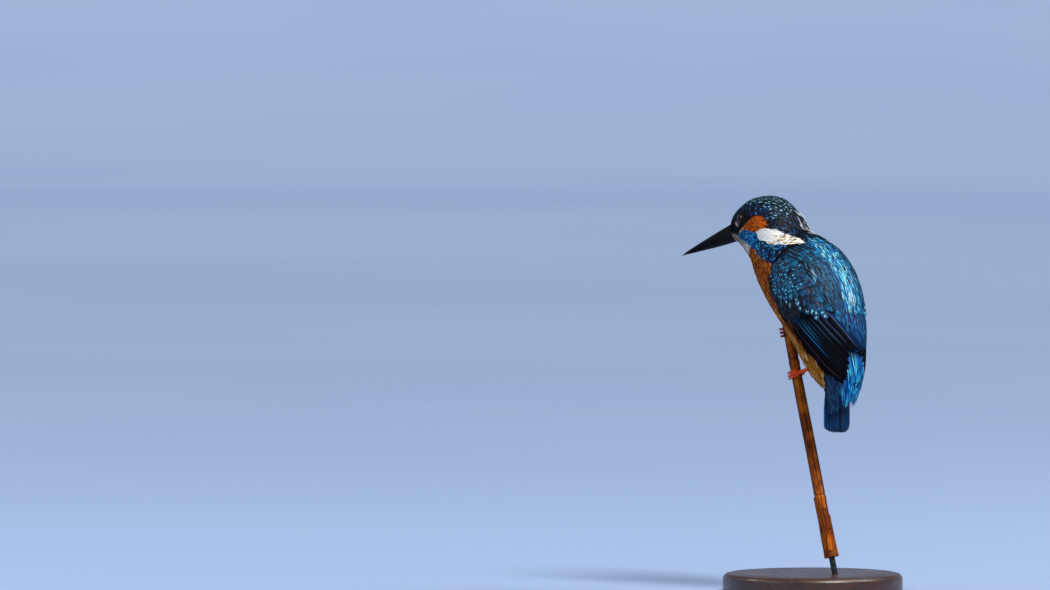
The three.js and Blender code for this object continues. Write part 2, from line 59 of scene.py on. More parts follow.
BODY = "root"

Array = np.ndarray
Socket = bpy.types.NodeSocket
Sockets = dict[str, Socket]
Pair = tuple[float, float]
Numbers = Sequence[float]

log = logging.getLogger("kingfisher")


# ---------- numbers ----------


def smoothstep(value: Array | float, low: float, high: float) -> Array:
    """A smooth rise from 0 at low to 1 at high.

    Args:
        value: The numbers to grade.
        low: Where the rise starts.
        high: Where it ends.

    Returns:
        The shares, between 0 and 1.
    """
    share = np.clip((np.asarray(value, float) - low) / (high - low), 0.0, 1.0)
    return share * share * (3.0 - 2.0 * share)


def signed_power(value: Array, power: Array | float) -> Array:
    """A power of each number's size, with its sign kept."""
    return np.sign(value) * np.abs(value) ** power


def unit(vectors: Array) -> Array:
    """The vectors at length 1."""
    return vectors / np.maximum(np.linalg.norm(vectors, axis=-1, keepdims=True), 1e-9)


def dot(first: Array, second: Array) -> Array:
    """The dot products of two stacks of vectors."""
    return np.sum(first * second, axis=-1)


def through(points: Array, place: Array) -> Array:
    """Points of a smooth curve that passes through others.

    Args:
        points: The points it passes through, one in each row.
        place: How far along to look, counted in points from the first.

    Returns:
        One point for each place.
    """
    padded = np.vstack([2 * points[0] - points[1], points, 2 * points[-1] - points[-2]])
    index = np.clip(np.floor(place).astype(int), 0, len(points) - 2)
    t = (place - index)[:, None]
    p0, p1, p2, p3 = (padded[index + step] for step in range(4))
    bend = (2 * p0 - 5 * p1 + 4 * p2 - p3) * t**2
    return 0.5 * (2 * p1 + (p2 - p0) * t + bend + (3 * p1 - p0 - 3 * p2 + p3) * t**3)


def resampled(points: Array, count: int) -> Array:
    """Evenly spread places on the smooth curve through some points."""
    return through(np.asarray(points, float), np.linspace(0, len(points) - 1, count))


def bell(value: Array | float) -> Array:
    """A smooth bump: 1 at 0, and next to nothing past 2 on either side."""
    return np.exp(-(np.asarray(value) ** 2))


def turns(count: int) -> Array:
    """Evenly spread angles all the way round, in radians."""
    return np.linspace(0, 2 * np.pi, count, endpoint=False)


def stacked(*parts: Array | float) -> Array:
    """Values spread to one shape and set side by side along a new last axis."""
    return np.stack(np.broadcast_arrays(*parts), axis=-1)


def paint(code: str) -> Array:
    """A linear colour from its six hexadecimal digits."""
    channels = np.array([int(code[i : i + 2], 16) / 255 for i in (0, 2, 4)])
    return np.where(channels <= 0.04045, channels / 12.92, ((channels + 0.055) / 1.055) ** 2.4)


def opaque(colours: Array | str) -> Array:
    """Colours, or the one of a hexadecimal code, with an alpha of 1."""
    colours = paint(colours) if isinstance(colours, str) else colours
    return np.concatenate([colours, np.ones((*colours.shape[:-1], 1))], axis=-1)


def greys(values: Array) -> Array:
    """An opaque grey for each value."""
    return stacked(values, values, values, 1.0)


# ---------- the body's form ----------


@dataclass(frozen=True)
class Station:
    """One ring of the body: the (y, z) ends of its back and front lines, and half its width."""

    back: Pair
    front: Pair
    half: float


STATIONS = {
    "bill_base": Station((-47.4, 172.4), (-46.2, 164.0), 4.2),
    "lores": Station((-46.9, 175.8), (-44.2, 162.7), 7.4),
    "forehead": Station((-42.4, 179.9), (-41.8, 161.6), 9.4),
    "eyes": Station((-34.0, 184.2), (-39.2, 159.6), 11.6),
    "ears": Station((-23.0, 184.0), (-36.4, 156.8), 13.4),
    "nape": Station((-13.8, 176.4), (-33.6, 153.4), 14.3),
    "hindneck": Station((-9.4, 169.2), (-31.2, 149.6), 15.7),
    "shoulders": Station((1.5, 165.2), (-28.2, 145.2), 18.2),
    "mantle": Station((13.0, 156.5), (-23.4, 139.2), 19.8),
    "back": Station((21.2, 144.7), (-17.0, 132.0), 20.2),
    "belly": Station((25.4, 130.4), (-9.3, 123.8), 18.8),
    "flanks": Station((27.8, 117.0), (-2.3, 114.0), 16.2),
    "rump": Station((28.9, 105.0), (5.0, 102.6), 12.7),
    "vent": Station((27.2, 95.5), (12.5, 95.4), 9.3),
    "covert_tips": Station((23.2, 88.0), (15.2, 88.5), 8.2),
}
LAST = len(STATIONS) - 1
BACK_ROUNDNESS = 2.3
FRONT_ROUNDNESS = 2.5
HEAD_TURN = 8.0
NECK_PIVOT = (0.0, -16.0)
TURN_FROM = 4.5
TURN_TO = 8.0


@dataclass(frozen=True)
class Swell:
    """A soft bump or hollow of the form, on both sides of the body.

    Attributes:
        u: Its station.
        angle: Its angle from the back line.
        long: Its reach towards head and tail, in stations.
        wide: Its reach round the body, in degrees.
        height: How far it stands out; below 0 it is a hollow.
    """

    u: float
    angle: float
    long: float
    wide: float
    height: float

    def at(self, u: Array, angle: Array) -> Array:
        """Its height at places on the body."""
        away = ((u - self.u) / self.long) ** 2 + ((np.abs(angle) - self.angle) / self.wide) ** 2
        return self.height * np.exp(-1.4 * away)


SWELLS = (
    Swell(2.95, 63, 0.75, 11, 0.45),  # brow
    Swell(2.55, 92, 0.5, 12, -0.35),  # before the eye
    Swell(4.25, 76, 0.7, 15, 0.65),  # ear coverts
    Swell(4.1, 104, 0.9, 10, 0.45),  # cheek
    Swell(4.3, 92, 0.8, 4, -0.35),  # between ear coverts and cheek
    Swell(5.95, 53, 0.9, 20, 0.7),  # the pale neck patch
    Swell(7.0, 60, 0.35, 40, -0.5),  # where neck and wing meet
)


class Edge:
    """A line over the body through (station, angle) points, read by its station."""

    FINENESS = 24

    def __init__(self, *points: Pair) -> None:
        """Args:
        *points: Stations and angles from the back line, in order.
        """
        curve = resampled(np.array(points), self.FINENESS * len(points))
        order = np.argsort(curve[:, 0], kind="stable")
        self.stations = curve[order, 0]
        self.angles = curve[order, 1]

    def at(self, u: Array) -> Array:
        """The line's angle at each station."""
        return np.interp(u, self.stations, self.angles)


class WingPlan:
    """Where the folded wing's parts border on each other."""

    START = 6.95
    TIP = 12.68
    COVERT_TIPS = 9.98
    front = Edge(
        (6.95, 66), (7.35, 86), (8.0, 99), (8.7, 108), (9.4, 108), (10.0, 103),
        (10.6, 95), (11.12, 88), (11.57, 78), (11.88, 69), (12.3, 52), (12.68, 34),
    )
    covert_back = Edge((7.05, 62), (7.5, 53), (8.0, 47), (8.7, 43), (9.4, 40), (10.0, 36))
    scapular_back = Edge((7.0, 22), (7.5, 15), (8.0, 12), (8.7, 10.5), (9.4, 10), (10.0, 8.5))
    RIGHT_SPREAD = 13.0

    @classmethod
    def spread(cls, side: Array | int, u: Array) -> Array:
        """How much lower down the flank the right wing's tip lies than the left's, in degrees."""
        return np.where(np.asarray(side) < 0, cls.RIGHT_SPREAD * smoothstep(u, 11.2, 12.5), 0.0)

    @classmethod
    def across(cls, u: Array, angle: Array) -> Array:
        """Where a place lies across the coverts: 0 at the scapulars and 1 at the front edge."""
        back = cls.covert_back.at(u)
        return (np.abs(angle) - back) / (cls.front.at(u) - back)

    @classmethod
    def relief(cls, u: Array, angle: Array) -> Array:
        """How far the folded wing stands out of the body's round, in mm."""
        long = smoothstep(u, cls.START, cls.START + 0.7) * (1 - smoothstep(u, 10.4, 11.6))
        t = cls.across(u, angle)
        coverts = np.sqrt(np.clip(1 - (2 * t - 1) ** 2, 0, 1))
        back = cls.scapular_back.at(u)
        s = (np.abs(angle) - back) / (cls.covert_back.at(u) - back)
        scapulars = np.sqrt(np.clip(1 - (2 * s - 1) ** 2, 0, 1))
        return long * (0.75 * coverts + 0.7 * scapulars) - 0.15


class BodyForm:
    """The bird's outer surface, tabled once and then read by station and angle."""

    STEP = 0.025
    ROUNDS = 6  # of the search for a point's station
    NUDGE = 0.05  # its step for the slope

    def __init__(self) -> None:
        """Tables the rings, the surface and its normals."""
        stations = list(STATIONS.values())
        u = np.arange(0, LAST + self.STEP / 2, self.STEP)
        back = through(np.array([(0, *s.back) for s in stations], float), u)
        front = through(np.array([(0, *s.front) for s in stations], float), u)
        half = through(np.array([[s.half] for s in stations], float), u)[:, 0]
        up = (back - front) / 2
        depth = np.linalg.norm(up, axis=1)
        up = unit(up)
        across = np.tile([1.0, 0.0, 0.0], (len(u), 1))
        square = np.cross(up, across)
        turn = np.radians(HEAD_TURN) * (1 - smoothstep(u, TURN_FROM, TURN_TO))
        self.u = u
        self.angle = np.arange(-180.0, 181.0)
        self.middle = self._turned((back + front) / 2, turn, NECK_PIVOT)
        self.up, self.across, self.square = (self._turned(v, turn, (0, 0)) for v in (up, across, square))
        self.half = half
        self.depth = depth
        columns = (self.middle, self.up, self.across, self.square, half[:, None], depth[:, None])
        self._rings = np.hstack(columns)
        bare = self._bare(np.radians(self.angle))
        normals = self._normals(bare)
        places = np.meshgrid(u, self.angle, indexing="ij")
        relief = WingPlan.relief(*places) + sum(swell.at(*places) for swell in SWELLS)
        self.points = bare + normals * relief[..., None]
        self.normals = self._normals(self.points)
        self.steps = np.linalg.norm(np.gradient(self.points, self.STEP, axis=0), axis=-1)

    @staticmethod
    def _turned(points: Array, turn: Array, pivot: Pair) -> Array:
        """Points turned about the upright axis through the pivot, each by its own angle."""
        x = points[:, 0] - pivot[0]
        y = points[:, 1] - pivot[1]
        turned_x = pivot[0] + x * np.cos(turn) - y * np.sin(turn)
        turned_y = pivot[1] + x * np.sin(turn) + y * np.cos(turn)
        return stacked(turned_x, turned_y, points[:, 2])

    def _bare(self, angle: Array) -> Array:
        """The rings' points at some angles, before any relief."""
        power = 2 / np.where(np.cos(angle) > 0, BACK_ROUNDNESS, FRONT_ROUNDNESS)
        high = self.depth[:, None] * signed_power(np.cos(angle), power)
        wide = self.half[:, None] * signed_power(np.sin(angle), power)
        rise = self.up[:, None] * high[..., None]
        return self.middle[:, None] + rise + self.across[:, None] * wide[..., None]

    @staticmethod
    def _normals(points: Array) -> Array:
        """Outward normals of a wrapped grid of points."""
        along = np.gradient(points, axis=0)
        wrapped = np.concatenate([points[:, -2:-1], points, points[:, 1:2]], axis=1)
        around = wrapped[:, 2:] - wrapped[:, :-2]
        return unit(np.cross(around, along))

    def ring(self, u: Array) -> tuple[Array, ...]:
        """A ring's middle, up, across and square directions, half width and depth at each station."""
        place = np.clip(u, 0, LAST) / self.STEP
        index = np.minimum(place.astype(int), len(self.u) - 2)
        share = (place - index)[..., None]
        row = self._rings[index] * (1 - share) + self._rings[index + 1] * share
        return (*(row[..., i : i + 3] for i in (0, 3, 6, 9)), row[..., 12], row[..., 13])

    def _read(self, table: Array, u: Array, angle: Array) -> Array:
        """A table's values between its grid lines."""
        row = np.clip(u, 0, LAST) / self.STEP
        column = np.mod(angle + 180, 360)
        i = np.minimum(row.astype(int), len(self.u) - 2)
        j = np.minimum(column.astype(int), 359)
        r = (row - i)[..., None]
        c = (column - j)[..., None]
        near = table[i, j] * (1 - c) + table[i, j + 1] * c
        far = table[i + 1, j] * (1 - c) + table[i + 1, j + 1] * c
        return near * (1 - r) + far * r

    def surface(self, u: Array, angle: Array) -> tuple[Array, Array]:
        """Points of the surface and the normals there."""
        return self._read(self.points, u, angle), unit(self._read(self.normals, u, angle))

    def tailwards(self, u: Array, angle: Array) -> Array:
        """The direction along the surface from head to tail."""
        reach = 0.1
        ahead = self._read(self.points, np.minimum(u + reach, LAST), angle)
        behind = self._read(self.points, np.maximum(u - reach, 0), angle)
        normal = unit(self._read(self.normals, u, angle))
        way = ahead - behind
        return unit(way - normal * dot(way, normal)[..., None])

    def project(self, points: Array, guess: Array) -> tuple[Array, Array]:
        """The station and angle nearest each point in space.

        Args:
            points: Points near the surface.
            guess: Roughly the station of each.

        Returns:
            Their stations and their angles.
        """
        u = np.clip(guess, 0, LAST)
        for _ in range(self.ROUNDS):
            middle, _, _, square, _, _ = self.ring(u)
            off = dot(points - middle, square)
            nudge = np.where(u > LAST / 2, -self.NUDGE, self.NUDGE)
            middle, _, _, square, _, _ = self.ring(u + nudge)
            slope = np.minimum((dot(points - middle, square) - off) / nudge, -1.5)
            u = np.clip(u - np.clip(off / slope, -0.8, 0.8), 0, LAST)
        middle, up, across, _, half, depth = self.ring(u)
        high = dot(points - middle, up) / depth
        wide = dot(points - middle, across) / half
        power = np.where(high > 0, BACK_ROUNDNESS, FRONT_ROUNDNESS) / 2
        return u, np.degrees(np.arctan2(signed_power(wide, power), signed_power(high, power)))

    def draped(self, points: Array, guess: Array, rise: Array) -> Array:
        """Points laid on the surface and lifted off it.

        Args:
            points: Points near the surface; past the last station they keep their place along it.
            guess: Roughly the station of each.
            rise: How far each is lifted, in mm.

        Returns:
            The points moved onto the surface.
        """
        u, angle = self.project(points, guess)
        on, normal = self.surface(u, angle)
        square = self.ring(u)[3]
        past = np.where(u > LAST - 0.002, np.maximum(dot(points - on, square), 0), 0)
        return on + normal * rise[..., None] + square * past[..., None]

    def unwrapped(self, u: Array, angle: Array) -> Array:
        """A place's coordinates on the skin's own unwrap, from 0.02 to 0.98."""
        lengths = np.concatenate([[0], np.cumsum(self.steps[:-1].mean(axis=1))])
        v = np.interp(u, self.u, lengths / lengths[-1])
        return stacked(0.5 + 0.96 * angle / 360, 0.02 + 0.96 * v)


# ---------- markings ----------


class Zone(IntEnum):
    """The plumage's areas, each with its own kind of feather."""

    CROWN = 0
    LORE = 1
    EAR = 2
    PALE_NECK = 3
    MALAR = 4
    CHIN = 5
    SHOULDER = 6
    BREAST = 7
    BACK_STRIPE = 8
    SCAPULAR = 9
    COVERT = 10
    QUILL = 11
    RUMP = 12
    TAIL_SIDE = 13


# The skin's colour under each zone's feathers, in the zones' order.
GROUND = (
    "07142a", "060709", "9c3f08", "d8d2c4", "063a6c", "c9b79c", "061c38",
    "8e3f0c", "054470", "042c46", "042a44", "06080f", "043058", "04142f",
)


class Area:
    """A rounded area of the body's surface, on both sides, from (station, angle) corners."""

    FINENESS = 8

    def __init__(self, *corners: Pair) -> None:
        """Args:
        *corners: Stations and angles round the area, in order.
        """
        closed = np.array([*corners, corners[0]], float)
        self.border = resampled(closed, self.FINENESS * len(corners))

    def holds(self, u: Array, angle: Array) -> Array:
        """True where a place lies inside the area."""
        x = np.abs(angle)
        inside = np.zeros(np.shape(u), bool)
        for (u1, a1), (u2, a2) in zip(self.border[:-1], self.border[1:]):
            crosses = (u1 > u) != (u2 > u)
            if abs(u2 - u1) > 1e-9:
                inside ^= crosses & (x < a1 + (u - u1) / (u2 - u1) * (a2 - a1))
        return inside


class Markings:
    """Which zone each place of the body belongs to, the same for skin and coat."""

    ear = Area(
        (3.45, 93), (3.62, 86), (3.86, 80), (4.21, 66), (4.56, 60), (4.82, 62), (4.86, 70), (4.66, 81),
        (4.5, 89), (4.0, 93), (3.6, 95),
    )
    pale_neck = Area(
        (4.68, 86), (4.8, 76), (5.05, 66), (5.54, 48), (6.07, 33), (6.65, 26), (6.95, 22), (7.08, 30),
        (6.9, 42), (6.65, 54), (6.29, 63), (5.85, 72), (5.2, 86), (4.9, 89),
    )
    malar = Area(
        (2.75, 113), (3.2, 102), (3.62, 96), (4.3, 92), (4.7, 88), (5.1, 88), (5.92, 76), (6.5, 66),
        (7.1, 64), (7.3, 86), (6.76, 92), (5.28, 102), (4.66, 110), (4.0, 117), (2.95, 120),
    )
    crown_edge = Edge(
        (0.0, 58), (1.5, 68), (2.4, 70), (3.0, 68), (3.6, 76), (4.21, 66), (4.56, 61), (5.02, 66),
        (5.54, 48), (6.07, 32), (6.7, 26), (7.0, 20),
    )
    lore_edge = Edge((0.0, 92), (1.4, 108), (2.4, 112), (3.1, 103), (3.6, 95), (3.9, 92))
    throat_edge = Edge((0.0, 100), (2.8, 119), (4.0, 117), (4.66, 110), (5.28, 102), (6.76, 92), (7.2, 89))
    rump_edge = Edge((11.0, 5), (11.4, 8), (11.9, 13), (12.31, 18), (12.69, 25), (13.34, 31), (14.0, 36))
    vent_edge = Edge((11.9, 72), (12.25, 78), (12.77, 91), (13.4, 102), (14.0, 112))
    CHIN_END = 4.75
    VENT_END = 12.95
    RIGHT_RUMP = 18.0

    @classmethod
    def zone(cls, u: Array, angle: Array) -> Array:
        """The zone at each place.

        Args:
            u: Stations.
            angle: Angles from the back line; the two sides are alike.

        Returns:
            Zone numbers.
        """
        away = np.abs(angle)
        side = np.where(angle < 0, -1, 1)
        front = WingPlan.front.at(u) + WingPlan.spread(side, u)
        wing = (u > WingPlan.START) & (u < WingPlan.TIP) & (away < front)
        chin_end = cls.CHIN_END - 0.5 * smoothstep(away, 140, 170)
        wider = np.where(angle < 0, cls.RIGHT_RUMP * smoothstep(u, 11.2, 12.0), 0)
        rump = (u > 10.2) & (away < cls.rump_edge.at(u) + wider)
        rules = (
            (cls.ear.holds(u, angle), Zone.EAR),
            (cls.pale_neck.holds(u, angle), Zone.PALE_NECK),
            (cls.malar.holds(u, angle), Zone.MALAR),
            ((u < 7.0) & (away < cls.crown_edge.at(u)), Zone.CROWN),
            ((u < 3.9) & (away < cls.lore_edge.at(u)), Zone.LORE),
            ((u < chin_end) & (away > cls.throat_edge.at(u) - 3), Zone.CHIN),
            ((u < 7.0) & (away < cls.throat_edge.at(u)), Zone.SHOULDER),
            (wing & (u < 10.2) & (away < WingPlan.scapular_back.at(u)), Zone.BACK_STRIPE),
            (wing & (u < 10.3) & (away < WingPlan.covert_back.at(u)), Zone.SCAPULAR),
            (wing & (u < WingPlan.COVERT_TIPS), Zone.COVERT),
            (rump, Zone.RUMP),
            (wing, Zone.QUILL),
            ((u > 12.0) & (away < cls.vent_edge.at(u)), Zone.TAIL_SIDE),
            ((u > cls.VENT_END) & (away < 150), Zone.TAIL_SIDE),
        )
        return np.select([test for test, _ in rules], [kind for _, kind in rules], Zone.BREAST)


# ---------- meshes ----------


@dataclass
class Shape:
    """Points, faces and what is painted on them, for one mesh.

    Attributes:
        points: Points in mm, one in each row.
        faces: Corner numbers, three or four to a row.
        uv: Coordinates of each face's corners on the bake map, if it has one.
        layers: Named values for each point: three numbers make a vector, four a colour.
    """

    points: Array
    faces: Array
    uv: Array | None = None
    layers: dict[str, Array] = field(default_factory=dict)

    @staticmethod
    def joined(shapes: "Sequence[Shape]") -> "Shape":
        """One shape made of several with the same layers and corner count."""
        starts = np.cumsum([0, *(len(shape.points) for shape in shapes[:-1])])
        faces = np.vstack([shape.faces + start for shape, start in zip(shapes, starts)])
        layers = {key: np.vstack([s.layers[key] for s in shapes]) for key in shapes[0].layers}
        uv = None
        if shapes[0].uv is not None:
            uv = np.concatenate([shape.uv for shape in shapes])
        return Shape(np.vstack([shape.points for shape in shapes]), faces, uv, layers)

    @staticmethod
    def of_grid(points: Array, wrap: bool = True, **layers: Array) -> "Shape":
        """One shape from a grid of points.

        Args:
            points: The points, by row and column.
            wrap: Whether the last column joins the first.
            **layers: Named values for each point, by row and column.

        Returns:
            The shape.
        """
        faces = grid_faces(*points.shape[:2], wrap)
        flat = {key: values.reshape(-1, values.shape[-1]) for key, values in layers.items()}
        return Shape(points.reshape(-1, 3), faces, None, flat)

    def triangles(self) -> int:
        """How many triangles it makes."""
        return len(self.faces) * (self.faces.shape[1] - 2)


def piece(name: str, shape: Shape, material: bpy.types.Material) -> bpy.types.Object:
    """Makes a shape into a piece of the bird, riding on its body.

    Args:
        name: The piece's name.
        shape: Its points and faces.
        material: Its finish.

    Returns:
        The new object.
    """
    mesh = bpy.data.meshes.new(name)
    corners = shape.faces.shape[1]
    mesh.vertices.add(len(shape.points))
    mesh.vertices.foreach_set("co", (shape.points * MM).ravel())
    mesh.loops.add(shape.faces.size)
    mesh.loops.foreach_set("vertex_index", shape.faces.astype(np.int32).ravel())
    mesh.polygons.add(len(shape.faces))
    mesh.polygons.foreach_set("loop_start", np.arange(0, shape.faces.size, corners, dtype=np.int32))
    mesh.update(calc_edges=True)
    mesh.shade_smooth()
    for key, values in shape.layers.items():
        kind, entry = ("FLOAT_COLOR", "color") if values.shape[1] == 4 else ("FLOAT_VECTOR", "vector")
        layer = mesh.attributes.new(key, kind, "POINT")
        layer.data.foreach_set(entry, values.astype(np.float32).ravel())
    if shape.uv is not None:
        mesh.uv_layers.new(name="OFBake").data.foreach_set("uv", shape.uv.astype(np.float32).ravel())
    mesh.materials.append(material)
    made = bpy.data.objects.new(name, mesh)
    bpy.context.scene.collection.objects.link(made)
    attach(made, BODY)
    log.info("%s: %d triangles", name, shape.triangles())
    return made


def grid_faces(rows: int, columns: int, wrap: bool = False) -> Array:
    """The four-cornered faces of a grid of points.

    Args:
        rows: Rows of points.
        columns: Columns of points.
        wrap: Whether the last column joins the first.

    Returns:
        The faces' corner numbers.
    """
    r = np.arange(rows - 1)[:, None]
    c = np.arange(columns if wrap else columns - 1)[None, :]
    after = (c + 1) % columns
    near, far = r * columns, (r + 1) * columns
    return stacked(near + c, near + after, far + after, far + c).reshape(-1, 4)


def swept(spine: Array, radius: Array, start: Array, squash: float = 1.0) -> tuple[Array, Array]:
    """A tube along a line of points, closed at both ends by its last rings' narrowing.

    Args:
        spine: The points along its middle.
        radius: Its radius for each point and each side of the ring.
        start: Roughly the direction of the ring's first side.
        squash: The ring's height across that direction, as a share of its width.

    Returns:
        The points and the faces.
    """
    tangent = unit(np.gradient(spine, axis=0))
    side = np.empty_like(spine)
    way = np.asarray(start, float)
    for i, along in enumerate(tangent):
        way = unit(way - along * dot(way, along))
        side[i] = way
    over = np.cross(tangent, side)
    angle = turns(radius.shape[1])[None, :, None]
    ring = side[:, None] * np.cos(angle) + over[:, None] * (squash * np.sin(angle))
    points = spine[:, None] + ring * radius[..., None]
    return points.reshape(-1, 3), grid_faces(len(spine), radius.shape[1], wrap=True)


# ---------- vanes ----------


@dataclass(frozen=True)
class Cut:
    """How a vane is cut.

    Attributes:
        rows: Steps along it.
        columns: Steps across it.
        root: Its width at the root, as a share of its full width.
        widest: How far along it is widest.
        blunt: How blunt its tip is: 1 is a point, 3 a round end and 17 nearly a square one.
        cup: How far its edges bend down, as a share of its half width.
        fringe: How ragged its tip is, as a share of its length.
        arch: How far its middle stands above a straight rise from root to tip, in mm.
    """

    rows: int = 6
    columns: int = 4
    root: float = 0.45
    widest: float = 0.55
    blunt: float = 2.2
    cup: float = 0.22
    fringe: float = 0.06
    arch: float = 0.0

    def along(self) -> Array:
        """The rows' shares of the length, closer together near the tip."""
        even = np.linspace(0, 1, self.rows + 1)
        return 1 - (1 - even) ** 1.35

    def across(self) -> Array:
        """The columns' places across, from -1 to 1."""
        return np.linspace(-1, 1, self.columns + 1)

    def half(self, s: Array) -> Array:
        """Half the width at each share of the length, as a share of half the full width."""
        rising = self.root + (1 - self.root) * np.sin(np.clip(s / self.widest, 0, 1) * np.pi / 2)
        past = np.clip((s - self.widest) / (1 - self.widest), 0, 1)
        return rising * np.maximum(1 - past**self.blunt, 0.0) ** (0.5 if self.blunt > 1.5 else 0.9) + 0.02


@dataclass(frozen=True)
class Dye:
    """The colours of one kind of feather.

    Attributes:
        root: At the root, mostly hidden.
        middle: Halfway.
        tip: At the tip.
        others: Colours that some whole vanes take instead of the middle and the tip.
        share: The share of vanes that take one of the others.
        spread: How much brightness varies between vanes.
        accent: The spot's colour.
        spotted: The share of vanes that carry the spot.
    """

    root: str
    middle: str
    tip: str
    others: tuple[str, ...] = ()
    share: float = 0.0
    spread: float = 0.22
    accent: str = "ffffff"
    spotted: float = 0.0

    def mixed(
        self, s: Array, rng: np.random.Generator, count: int, columns: int, spots: Array | float = 1.0
    ) -> tuple[Array, Array]:
        """Colours for some vanes.

        Args:
            s: The rows' shares of the length.
            rng: The source of chance.
            count: How many vanes.
            columns: How many columns of points each has.
            spots: Scales the share of vanes that carry the spot.

        Returns:
            The pigment and the accent, for each vane, row and column.
        """
        root, middle, tip, accent = (paint(code) for code in (self.root, self.middle, self.tip, self.accent))
        middles = np.tile(middle, (count, 1))
        tips = np.tile(tip, (count, 1))
        chance = rng.random(count)
        for i, code in enumerate(self.others):
            low = self.share * i / len(self.others)
            high = self.share * (i + 1) / len(self.others)
            chosen = (chance >= low) & (chance < high)
            middles[chosen] = paint(code) * 0.8
            tips[chosen] = paint(code)
        early = smoothstep(s, 0.05, 0.5)[None, :, None]
        late = smoothstep(s, 0.45, 0.95)[None, :, None]
        colour = root + (middles[:, None] - root) * early
        colour = colour + (tips[:, None] - colour) * late
        colour = colour * np.exp(rng.normal(0, self.spread, (count, 1, 1)))
        pigment = np.ones((count, len(s), columns, 4))
        pigment[..., :3] = np.clip(colour, 0, 1)[:, :, None]
        accents = np.empty_like(pigment)
        accents[..., :3] = accent
        carried = np.where(rng.random(count) < self.spotted * spots, rng.uniform(0.55, 1.0, count), 0.0)
        accents[..., 3] = carried[:, None, None]
        return pigment, accents


@dataclass
class Roots:
    """Where vanes grow from: stations and angles."""

    u: Array
    angle: Array

    def kept(self, mask: Array) -> "Roots":
        """Only those that a mask keeps."""
        return Roots(self.u[mask], self.angle[mask])

    @property
    def side(self) -> Array:
        """1 on the bird's left and -1 on its right."""
        return np.where(self.angle < 0, -1.0, 1.0)


